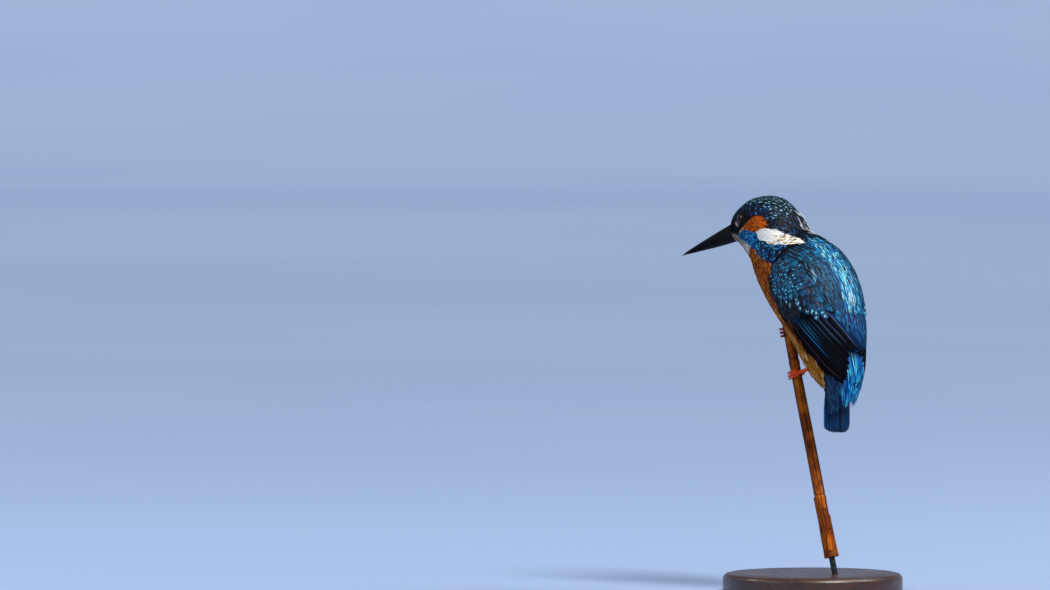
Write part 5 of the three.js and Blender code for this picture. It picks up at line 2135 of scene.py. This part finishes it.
    def _flight(
        self, coat: Coat, quills: Sequence[Quill], cut: Cut, reach: Pair, lift: Array, tilt: float
    ) -> None:
        """Lays flight feathers between their roots and tips.

        Args:
            coat: The coat to add them to.
            quills: The feathers.
            cut: How they are cut.
            reach: How far each vane spreads before and behind its shaft.
            lift: How far each stands off the surface.
            tilt: How much higher its leading edge stands than its hidden one.
        """
        s, t = cut.along(), cut.across()
        places = np.array([(*quill.root, *quill.middle, *quill.tip) for quill in quills])
        root_u, root_angle, middle_u, middle_angle, tip_u, tip_angle = places.T
        tip_angle = tip_angle + WingPlan.spread(self.side, tip_u)
        roots = Roots(root_u, self.side * root_angle)
        start = self.form.surface(roots.u, roots.angle)[0]
        end = self.form.surface(tip_u, self.side * tip_angle)[0]
        u = root_u[:, None] + (tip_u - root_u)[:, None] * s[None]
        edge = WingPlan.front.at(u) - 1.5 + WingPlan.spread(self.side, u)
        border = self.form.surface(u, self.side * edge)[0]
        waist = 2 * self.form.surface(middle_u, self.side * middle_angle)[0] - (start + end) / 2
        share = s[None, :, None]
        spine = start[:, None] * (1 - share) ** 2 + waist[:, None] * 2 * share * (1 - share)
        spine = spine + end[:, None] * share**2
        held = np.sin(np.pi * np.minimum(s, 0.5)) * (1 - smoothstep(s, 0.75, 1))
        held = np.array([quill.follow for quill in quills])[:, None] * held[None]
        spine = self.form.draped(spine + (border - spine) * held[..., None], u, np.zeros_like(u))
        normal = self.form.surface(*self.form.project(spine, u))[1]
        way = unit(np.gradient(spine, axis=1))
        over = np.cross(way, normal) * self.side
        before, behind = reach
        beside = np.where(t < 0, t * before, t * behind)
        offset = beside[None, None, :] * cut.half(s)[None, :, None]
        swept_back = 0.02 * np.linalg.norm(end - start, axis=1)[:, None, None] * (t**2 * s[:, None])[None]
        points = spine[:, :, None] + over[:, :, None] * offset[..., None]
        points = points - way[:, :, None] * swept_back[..., None]
        rise = tilt * -beside / (before + behind) + self.SHAFT * bell(t / 0.12) - 0.1 * smoothstep(-t, 0.8, 1)
        tucked = 0.75 * (1 - smoothstep(s, 0.05, 0.4))
        clear = 0.55 * smoothstep(s, 0.55, 0.85)
        rise = lift[:, None, None] + rise[None, None, :] + (clear - tucked)[None, :, None]
        points = self.form.draped(points, np.broadcast_to(u[:, :, None], points.shape[:3]), rise)
        pigment = opaque(np.stack([quill.over(s, t) for quill in quills]))
        coat.add(points, s, t, pigment, np.zeros_like(pigment), roots)

    def quills(self) -> None:
        """Primaries and secondaries, stacked like blinds, their leading edges blue."""
        coat = self._coat("quill", 40)
        cut = Cut(rows=30, columns=18, root=0.8, widest=0.2, blunt=4.5, cup=0.0, fringe=0.0)
        lift = -0.75 + 0.06 * np.arange(len(FLIGHT))
        self._flight(coat, FLIGHT, cut, (1.2, 4.6), lift, 0.7)
        finish = FeatherFinish(f"quill_feathers_{self.name}", Gloss(0.55, 0.06), 70, 0.3, 0.08, 0.3)
        coat.made(finish.made(self.effects), "plumage_quill", f"wing_{self.name}_primaries")

    def tertials(self) -> None:
        """The broad inner feathers over the lower back."""
        coat = self._coat("tertial", 50)
        cut = Cut(rows=24, columns=18, root=0.7, widest=0.35, blunt=4.0, cup=0.0, fringe=0.0)
        lift = -0.3 + 0.08 * np.arange(len(TERTIALS)) - self.UNDER[self.side]
        quills = TERTIALS
        if self.side < 0:
            bent = [((10.3, 28 - 9 * i), (11.36, 12 - 5 * i)) for i in range(len(TERTIALS))]
            quills = [replace(quill, middle=middle, tip=tip) for quill, (middle, tip) in zip(TERTIALS, bent)]
        self._flight(coat, quills, cut, (1.3, 4.4), lift, 0.6)
        finish = FeatherFinish(f"tertial_feathers_{self.name}", Gloss(0.5, 0.08), 46, 0.35, 0.1, 0.35)
        coat.made(finish.made(self.effects), "plumage_quill", f"wing_{self.name}_tertials")

    def build(self) -> None:
        """Builds the wing's feathers."""
        for part in (self.coverts, self.scapulars, self.quills, self.tertials):
            part()


@dataclass
class Tail:
    """Twelve tail feathers, the middle pair on top and each further one a step lower."""

    form: BodyForm
    effects: Effects
    feathers: int = 12
    half_width: float = 9.1
    top: float = 103.0
    tip: float = 75.2
    y: float = 18.1
    narrowing: float = 0.74
    inner_pairs: int = 3
    reach_out: float = 1.55
    reach_in: float = 2.1

    EDGES = ("063a68", "0a4c82")  # of the inner pairs and of the outer ones

    def build(self) -> None:
        """Builds the tail."""
        coat = Coat("tail_feathers", self.form, 60)
        cut = Cut(rows=30, columns=10, root=0.9, widest=0.3, blunt=17.0, cup=0.0, fringe=0.0)
        s, t = cut.along(), cut.across()
        pairs = self.feathers // 2
        number = np.tile(np.arange(pairs), 2)
        side = np.repeat([1.0, -1.0], pairs)
        out = (number + 0.35) / pairs
        x = side * out * (self.half_width - 1.5)
        end = self.tip + 2.2 * out**4
        z = self.top + (end - self.top)[:, None] * s[None]
        flare = self.narrowing + (1 - self.narrowing) * np.minimum(s * 1.6, 1)
        outward = np.where(t < 0, t * self.reach_in, t * self.reach_out)
        offset = outward[None, None, :] * cut.half(s)[None, :, None] * side[:, None, None]
        px = (x[:, None] * flare[None])[..., None] + offset
        lift = 0.75 - 0.22 * number - 0.9 * out**2
        roof = -0.16 * np.abs(outward)[None, None, :] * (1 + 0.4 * number)[:, None, None]
        py = self.y + lift[:, None, None] + roof + 0.07 * bell(t / 0.1)[None, None, :]
        pz = z[..., None] + 0.5 * (t**2)[None, None, :] * s[None, :, None] ** 6
        points = stacked(px, py, pz)
        inner, outer = (quill_colours(s, -t, edge, "01203e", "011a34", 0.9) for edge in self.EDGES)
        pigment = opaque(np.stack([inner if i < self.inner_pairs else outer for i in number]))
        roots = Roots(np.full(self.feathers, 13.0), side * (12 + 70 * out))
        coat.add(points, s, t, pigment, np.zeros_like(pigment), roots)
        finish = FeatherFinish("tail_feathers", Gloss(0.5, 0.12), 60, 0.35, 0.08, 0.45)
        coat.made(finish.made(self.effects), "plumage_quill", "tail")


# ---------- perch, feet and stand ----------


@dataclass
class Reed:
    """The cut reed: a ribbed hollow stem with two joints, in a rough old sheath below."""

    effects: Effects
    foot: tuple[float, float, float] = (-0.9, 12.0, 17.0)
    top: tuple[float, float, float] = (4.0, -13.5, 124.8)
    low_radius: float = 2.7
    high_radius: float = 2.3
    joints: Pair = (28.0, 93.0)
    swell: float = 0.16
    bore: float = 1.7
    bore_depth: float = 11.0
    painted_side_shade: float = 4.85  # where its two bands of painted shade run up the sides, twice the angle
    sides: int = 96
    rows: int = 190
    joint_rows: int = 41
    sheath_rows: int = 70

    RIBS = 23
    FOLDS = 17  # of the sheath
    COLOURS = ("1a0600", "903e02", "c66a08")

    @property
    def length(self) -> float:
        """Its length."""
        return float(np.linalg.norm(np.subtract(self.top, self.foot)))

    @property
    def axis(self) -> Array:
        """The way it points."""
        return np.subtract(self.top, self.foot) / self.length

    def placed(self, points: Array) -> Array:
        """Points of the reed's own frame, with +Z along it, in the object's frame."""
        turn = Vector((0, 0, 1)).rotation_difference(Vector(self.axis)).to_matrix()
        return points @ np.array(turn).T + np.array(self.foot)

    def own(self, point: Numbers) -> Array:
        """A point of the object's frame in the reed's own."""
        turn = Vector((0, 0, 1)).rotation_difference(Vector(self.axis)).to_matrix()
        return np.subtract(point, self.foot) @ np.array(turn)

    def radius(self, height: Array | float) -> Array:
        """Its radius at a height, without ribs and joints."""
        return self.low_radius + (self.high_radius - self.low_radius) * np.asarray(height) / self.length

    def _tube(self, radius: Array, height: Array, shade: Array) -> Shape:
        """A ring-by-ring surface about the reed's axis.

        Args:
            radius: Its radius for each ring and side.
            height: The height of each.
            shade: How bright each is.

        Returns:
            Its shape.
        """
        around = turns(self.sides)[None]
        own = stacked(radius * np.cos(around), radius * np.sin(around), height)
        placed = self.placed(own.reshape(-1, 3)).reshape(own.shape)
        return Shape.of_grid(placed, vane=own, pigment=greys(np.broadcast_to(shade, own.shape[:2])))

    def build(self) -> None:
        """Builds the stem, its sheath and the sheath's loose strip."""
        rng = np.random.default_rng(70)
        around = turns(self.sides)[None]
        close = [j + np.linspace(-3, 3, self.joint_rows) for j in self.joints]
        h = np.unique(np.concatenate([np.linspace(0, self.length, self.rows), *close]))[:, None]
        ribs = 0.035 * np.cos(self.RIBS * around + 0.02 * h) + 0.02 * np.cos(41 * around + 1.0)
        joint = sum(bell((h - j) / 1.1) for j in self.joints)
        lip = sum(bell((h - j - 1.5) / 0.35) for j in self.joints)
        bow = 0.05 * np.sin(h / 9.0 + around) + 0.06 * np.sin(h / 23.0 + 2 * around)
        wall = self.radius(h) + ribs + bow + self.swell * joint - 0.22 * lip
        streaks = 0.26 * np.cos(9 * around + 0.015 * h) + 0.2 * np.cos(14 * around + 2.0)
        # The rib term darkens the grooves between the ribs: painted shade.
        shade = 0.95 + streaks + 0.12 * np.cos(self.RIBS * around) - 0.45 * lip - 0.12 * joint
        shade = shade + 0.1 * np.sin(h / 17 + 3 * around)
        # Two dark bands up its sides, fixed to the reed: painted shade.
        shade = shade * (1 - 0.76 * smoothstep(np.cos(2 * around - self.painted_side_shade), -0.05, 0.5))
        rim_r = np.array([[self.high_radius - 0.12], [self.bore + 0.1], [self.bore], [self.bore], [0.003]])
        rim_h = self.length + np.array([[0.05], [0.0], [-0.1], [-self.bore_depth], [-self.bore_depth]])
        # The rim and the bore grow darker downwards: painted shade inside the hollow.
        edge = np.array([[0.95], [0.75], [0.5], [0.12], [0.1]])
        flat = np.ones_like(around)
        radius = np.vstack([0.003 * flat, wall, rim_r * flat])
        height = np.vstack([h[:1] * flat, h * flat, rim_h * flat])
        stem = self._tube(radius, height, np.vstack([0.4 * flat, shade * flat, edge * flat]))
        seam = 24.0 - 4.5 * np.cos(around - 2.6) + 0.5 * np.sin(5 * around)
        seam = seam + 0.25 * rng.normal(0, 1, around.shape)
        s = np.linspace(0, 1, self.sheath_rows)[:, None]
        low = s * seam
        folds = 0.07 * np.cos(self.FOLDS * around + 0.1 * low) + 0.05 * np.sin(low / 2.1 + 4 * around)
        sheath = self.radius(low) + 0.42 + folds + 0.3 * (1 - s) ** 3 - 0.3 * smoothstep(s, 0.97, 1.0)
        for j in self.joints:
            sheath = sheath + self.swell * bell((low - j) / 1.4)
        # The sheath's top edge is darkened and the row turned in under it is dark: painted shade in the gap
        # against the stem.
        tone = 0.72 + 0.2 * np.cos(self.FOLDS * around + 0.1 * low) - 0.35 * smoothstep(s, 0.96, 1.0)
        wrap = self._tube(np.vstack([sheath, self.radius(seam) - 0.1]), np.vstack([low, seam - 0.6]),
                          np.vstack([tone, 0.25 * flat]))
        finish = FibreFinish("dry_reed", self.COLOURS, 3.4, 34.0, Gloss(0.56, 0.11, 0.02, 0.3), 0.14)
        shape = Shape.joined([stem, wrap, self._strip()])
        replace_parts(piece("reed_stem", shape, finish.made(self.effects)), "perch_reed")

    def _strip(self) -> Shape:
        """A dry strip of the sheath that has come away and curls outwards."""
        s = np.linspace(0, 1, 40)[:, None]
        t = np.linspace(-1, 1, 9)[None]
        start = 3.2
        angle = np.radians(50) + 0.25 * s + 0.34 * t * (1 - 0.6 * s)
        radius = self.radius(start) + 0.75 + 2.4 * s**2 + 0.12 * t**2
        height = start + 12.0 * s - 2.2 * s**6
        own = stacked(radius * np.cos(angle), radius * np.sin(angle), height)
        placed = self.placed(own.reshape(-1, 3)).reshape(own.shape)
        return Shape.of_grid(placed, wrap=False, vane=own, pigment=greys(1.5 + 0.6 * s + 0 * t))


@dataclass(frozen=True)
class Toe:
    """One toe round the reed.

    Attributes:
        name: Which toe.
        to: The angle where it ends.
        drop: How much lower along the reed its end lies than its start.
        rise: How much higher it starts than the foot.
    """

    name: str
    to: float
    drop: float
    rise: float


@dataclass(frozen=True)
class Stance:
    """How one foot holds the reed: the ankle in the object's frame, and angles and heights on the reed."""

    name: str
    ankle: tuple[float, float, float]
    heel: float
    grip: float
    toes: tuple[Toe, ...]


STANCES = (
    Stance("left", (6.6, 7.2, 107.6), 82, 87.7,
           (Toe("middle", -34, 0.6, 0), Toe("outer", -22, 0.9, -0.95), Toe("inner", -8, 0.2, 0.9),
            Toe("hind", 206, 0.7, -0.2))),
    Stance("right", (-4.6, -2.6, 118.6), 150, 107.9,
           (Toe("middle", 320, 0.1, 0), Toe("outer", 312, 0.6, -1.2), Toe("inner", 292, -0.4, 1.2),
            Toe("hind", 40, 0.5, -0.2))),
)


@dataclass
class Foot:
    """One foot: a short scaly shank and four toes that clasp the reed with hooked claws."""

    reed: Reed
    effects: Effects
    stance: Stance
    toe_radius: float = 0.7
    shank_radius: float = 0.98
    gap: float = 0.45
    claw_radius: float = 0.58
    claw_from: float = 4.4  # how far past its toe a claw begins, and how far it reaches, in degrees
    claw_over: float = 44.6
    sides: int = 32
    toe_rows: int = 96
    shank_rows: int = 60
    claw_sides: int = 24
    claw_rows: int = 36

    SCUTES = 17  # on a toe, with its pads and knuckles
    PADS = 3.5
    KNUCKLES = 3
    SHANK_SCUTES = 9

    def _share(self, toe: Toe, angle: Array) -> Array:
        """How far along a toe an angle lies."""
        return (angle - self.stance.heel) / (toe.to - self.stance.heel)

    def _path(self, toe: Toe, angle: Array, off: Array) -> Array:
        """Points beside the reed, along a toe, in the object's frame."""
        share = self._share(toe, angle)
        height = self.stance.grip + toe.rise * np.minimum(1, 3 * share) - toe.drop * share
        turn = np.radians(angle)
        radius = self.reed.radius(height) + off
        return self.reed.placed(stacked(radius * np.cos(turn), radius * np.sin(turn), height))

    def _toe(self, toe: Toe) -> Shape:
        """One toe, with pads below and scutes above."""
        s = np.linspace(0, 1, self.toe_rows)
        angle = self.stance.heel + (toe.to - self.stance.heel) * s
        off = self.gap + self.toe_radius + 0.7 * np.maximum(0, 1 - 5 * s)
        spine = self._path(toe, angle, off)
        knuckles = 1 - 0.12 * s + 0.07 * np.cos(2 * np.pi * self.KNUCKLES * s)
        closing = np.where(s > 0.97, np.sqrt(np.clip(1 - ((s - 0.97) / 0.03) ** 2, 0.0004, 1)), 1)
        around = turns(self.sides)[None]
        outer = np.cos(around) > 0.1
        scute = np.abs(np.sin(np.pi * self.SCUTES * s))[:, None] ** 0.4
        pad = np.abs(np.sin(np.pi * self.PADS * s))[:, None] ** 0.3
        # Crease values darken the grooves between scutes and pads: painted shade.
        crease = np.where(outer, scute, 0.75 + 0.25 * pad)
        below = 0.05 * np.maximum(-np.cos(around), 0) * np.cos(2 * np.pi * self.KNUCKLES * s)[:, None]
        relief = -0.06 * (1 - crease) + below
        radius = (self.toe_radius * knuckles[:, None] + relief) * closing[:, None]
        middle = self._path(toe, angle, np.full(self.toe_rows, -1.0))
        return self._scaled(spine, radius, spine[0] - middle[0], crease)

    def _scaled(self, spine: Array, radius: Array, start: Array, crease: Array) -> Shape:
        """A swept limb whose creases carry painted shade."""
        points, faces = swept(spine, radius, start)
        return Shape(points, faces, None, {"pigment": greys(np.clip(crease, 0, 1).ravel())})

    def _shank(self) -> Shape:
        """The shank, from the ankle down to the toes' root."""
        ankle = self.reed.own(self.stance.ankle)
        heel_turn = math.radians(self.stance.heel)
        beside = float(self.reed.radius(self.stance.grip)) + self.gap + self.toe_radius + 0.7
        heel = np.array([beside * math.cos(heel_turn), beside * math.sin(heel_turn), self.stance.grip])
        bend = ankle + (heel - ankle) * 0.55 + np.array([0, 0, -0.7])
        spine = self.reed.placed(resampled(np.array([ankle, bend, heel]), self.shank_rows))
        s = np.linspace(0, 1, self.shank_rows)
        around = turns(self.sides)[None]
        front = np.cos(around) > 0
        # The shank's scute creases are darkened too: painted shade.
        crease = np.where(front, np.abs(np.sin(np.pi * self.SHANK_SCUTES * s))[:, None] ** 0.5, 0.9)
        closing = np.clip(np.minimum(s, 1 - s) / 0.05, 0.02, 1) ** 0.5
        radius = (self.shank_radius * (1 - 0.08 * s[:, None]) - 0.06 * (1 - crease)) * closing[:, None]
        return self._scaled(spine, radius, np.array([0.2, 1.0, 0]), crease)

    def _claw(self, toe: Toe) -> Shape:
        """One hooked claw."""
        s = np.linspace(0, 1, self.claw_rows)
        turn = math.copysign(1, toe.to - self.stance.heel)
        angle = toe.to + turn * (self.claw_from + self.claw_over * s)
        off = self.gap + self.toe_radius + 0.1 + 0.35 * np.sin(np.pi * s) - 0.45 * s**2
        spine = self._path(toe, angle, off)
        radius = self.claw_radius * (1 - 0.86 * s**1.1) * np.clip(s / 0.04, 0.02, 1) ** 0.5
        radius = radius * np.clip((1 - s) / 0.03, 0.02, 1)
        rounded = np.tile(radius[:, None], (1, self.claw_sides))
        inward = spine[0] - self._path(toe, angle, off - 2.0)[0]
        points, faces = swept(spine, rounded, inward, 0.78)
        own = np.repeat(s * 4.0, self.claw_sides)
        around = np.tile(turns(self.claw_sides), self.claw_rows)
        vane = stacked(0.5 * np.cos(around), 0.5 * np.sin(around), own)
        # The pale pink towards each claw's base is a painted highlight.
        pigment = greys(np.repeat(0.35 * (1 - s) ** 2, self.claw_sides))
        return Shape(points, faces, None, {"vane": vane, "pigment": pigment})

    def build(self, skin: bpy.types.Material, horn: bpy.types.Material) -> None:
        """Builds the foot and its claws."""
        name = self.stance.name
        limbs = Shape.joined([self._shank(), *(self._toe(toe) for toe in self.stance.toes)])
        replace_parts(piece(f"scaled_foot_{name}", limbs, skin), f"foot_{name}")
        for toe in self.stance.toes:
            made = piece(f"hooked_claw_{name}_{toe.name}", self._claw(toe), horn)
            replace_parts(made, f"claw_{name}_{toe.name}")


@dataclass
class Stand:
    """The display stand: a turned dark-wood base and a blackened steel rod."""

    reed: Reed
    effects: Effects
    PROFILE = ((0.01, 0.0), (41.2, 0.0), (41.8, 0.25), (42.0, 0.8), (42.0, 6.4), (41.85, 7.3), (41.3, 8.1),
               (40.5, 8.75), (39.4, 9.0), (37.6, 9.0), (37.2, 8.85), (36.8, 9.0), (0.01, 9.0))
    SIDES = 192
    TOP = 9.0
    ROD = 1.4
    ROD_SIDES = 40
    ROD_SUNK = 5.0  # how deep the rod goes into the base
    ROD_END = 10.7  # and how far up the reed's bore

    def build(self) -> None:
        """Builds the base and the rod."""
        around = turns(self.SIDES)
        profile = np.array(self.PROFILE)
        fine = [np.linspace(a, b, 7)[:-1] for a, b in zip(profile[:-1], profile[1:])]
        rows = np.vstack([*fine, profile[-1:]])
        x = rows[:, :1] * np.cos(around)
        y = rows[:, :1] * np.sin(around)
        z = np.broadcast_to(rows[:, 1:], x.shape)
        shape = Shape.of_grid(stacked(x, y, z), vane=stacked(y, z, x), pigment=greys(np.ones_like(x)))
        gloss = Gloss(0.4, 0.45, 0.3, 0.25)
        wood = FibreFinish("dark_wood", ("1c0e07", "40261a", "55341f"), 0.8, 18.0, gloss, 0.08, 0.15)
        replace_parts(piece("wood_base", shape, wood.made(self.effects)), "stand_base")
        low = (self.TOP - self.ROD_SUNK - self.reed.foot[2]) / self.reed.axis[2]
        height = np.linspace(low, self.ROD_END, 40)
        spine = self.reed.placed(stacked(0, 0, height))
        radius = np.full((len(height), self.ROD_SIDES), self.ROD)
        radius[0] = radius[-1] = 0.01
        points, faces = swept(spine, radius, np.array([1.0, 0, 0]))
        turn = np.tile(turns(self.ROD_SIDES), len(height))
        vane = stacked(np.cos(turn), np.sin(turn), np.repeat(height, self.ROD_SIDES))
        shape = Shape(points, faces, None, {"vane": vane})
        rod = piece("steel_rod", shape, SteelFinish().made(self.effects))
        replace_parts(rod, "stand_rod")


# ---------- studio ----------


@dataclass(frozen=True)
class Lamp:
    """A round area light.

    Attributes:
        name: Its name.
        azimuth: Where it stands, in degrees.
        elevation: How high, in degrees.
        distance: How far away.
        size: How far across.
        power: How strong, in watts.
    """

    name: str
    azimuth: float
    elevation: float
    distance: float
    size: float
    power: float


@dataclass
class Studio:
    """A plain pale floor, soft light and the camera."""

    effects: Effects
    azimuth: float = 138.87
    elevation: float = 1.98
    distance: float = 4.0
    aside: float = -0.13445
    above: float = 0.13891
    seen: float = 0.49073
    sensor: float = 36.0

    MIDDLE = (0, -0.01, 0.11)  # the bird's
    FLAT = 10  # how far out the floor is flat
    FLOOR_RINGS = (0.001, 1, 3, 6, 10, 13, 16, 18, 19, 19.6, 19.9)
    LAMPS = (
        Lamp("catch", 38, 36, 1.2, 0.14, 1.8),
        Lamp("rim", 235, 50, 1.6, 0.6, 10.0),
        Lamp("fill", 80, 30, 1.7, 0.6, 7.0),
    )

    def _floor(self) -> None:
        """The floor: a wide disc that curves up far away on every side."""
        around = turns(96)
        mesh = bpy.data.meshes.new("floor")
        away = np.array(self.FLOOR_RINGS)
        height = 5 * np.clip((away - self.FLAT) / self.FLAT, 0, 1) ** 2.5
        points = stacked(away[:, None] * np.cos(around), away[:, None] * np.sin(around), height[:, None])
        faces = grid_faces(len(away), len(around), wrap=True)[:, ::-1]
        mesh.from_pydata(points.reshape(-1, 3).tolist(), [], faces.tolist())
        mesh.shade_smooth()
        mesh.materials.append(FloorFinish().made(self.effects))
        floor = bpy.data.objects.new("floor", mesh)
        bpy.context.scene.collection.objects.link(floor)

    def _aimed(
        self, data: bpy.types.ID, azimuth: float, elevation: float, distance: float
    ) -> bpy.types.Object:
        """A light or camera at a direction and distance from the bird's middle, looking at it."""
        a, e = math.radians(azimuth), math.radians(elevation)
        way = Vector((math.sin(a) * math.cos(e), -math.cos(a) * math.cos(e), math.sin(e)))
        made = bpy.data.objects.new(data.name, data)
        made.location = Vector(self.MIDDLE) + way * distance
        made.rotation_euler = way.to_track_quat("Z", "Y").to_euler()
        bpy.context.scene.collection.objects.link(made)
        return made

    def _lights(self) -> None:
        """A high broad key, three soft fills and a pale surround."""
        key = bpy.data.lights.new("key", "SUN")
        key.energy = 4.0
        key.angle = math.radians(22)
        key.color = (1.0, 0.97, 0.92)
        self._aimed(key, 175, 52, 3.0)
        for lamp in self.LAMPS:
            light = bpy.data.lights.new(lamp.name, "AREA")
            light.shape = "DISK"
            light.size = lamp.size
            light.energy = lamp.power
            self._aimed(light, lamp.azimuth, lamp.elevation, lamp.distance)
        world = bpy.data.worlds.new("surround")
        world.use_nodes = True
        background = world.node_tree.nodes["Background"]
        background.inputs["Color"].default_value = (0.62, 0.72, 0.9, 1)
        background.inputs["Strength"].default_value = 0.26
        bpy.context.scene.world = world

    def build(self) -> None:
        """Builds floor, lights and camera."""
        self._floor()
        self._lights()
        data = bpy.data.cameras.new("camera")
        data.sensor_width = self.sensor
        data.lens = self.sensor * self.distance / self.seen
        data.clip_end = 60
        camera = self._aimed(data, self.azimuth, self.elevation, self.distance)
        turn = camera.rotation_euler.to_matrix()
        right, up, back = (turn.col[i] for i in range(3))
        camera.location = right * self.aside + up * self.above + back * self.distance
        scene = bpy.context.scene
        scene.camera = camera
        scene.view_settings.view_transform = "Standard"


def main() -> None:
    """Builds the bird, its perch and stand, and the studio."""
    logging.basicConfig(level=logging.INFO, format="%(message)s")
    form = BodyForm()
    effects = Effects()
    eyes = Eyes(form, effects)
    eyes.build()
    Skin(form, eyes).build(effects)
    Bill(form).build(effects)
    Plumage(form, eyes, effects).build()
    for name, side in Eyes.SIDES.items():
        Wing(form, effects, name, side).build()
    Tail(form, effects).build()
    reed = Reed(effects)
    reed.build()
    foot_skin = ScaledFinish().made(effects)
    # claw_horn's pale pink, laid on at the claws' bases, is a painted highlight.
    claw_horn = HornFinish("claw_horn", "0c0709", "c07868").made(effects)
    for stance in STANCES:
        Foot(reed, effects, stance).build(foot_skin, claw_horn)
    Stand(reed, effects).build()
    Studio(effects).build()


if __name__ == "__main__":
    main()
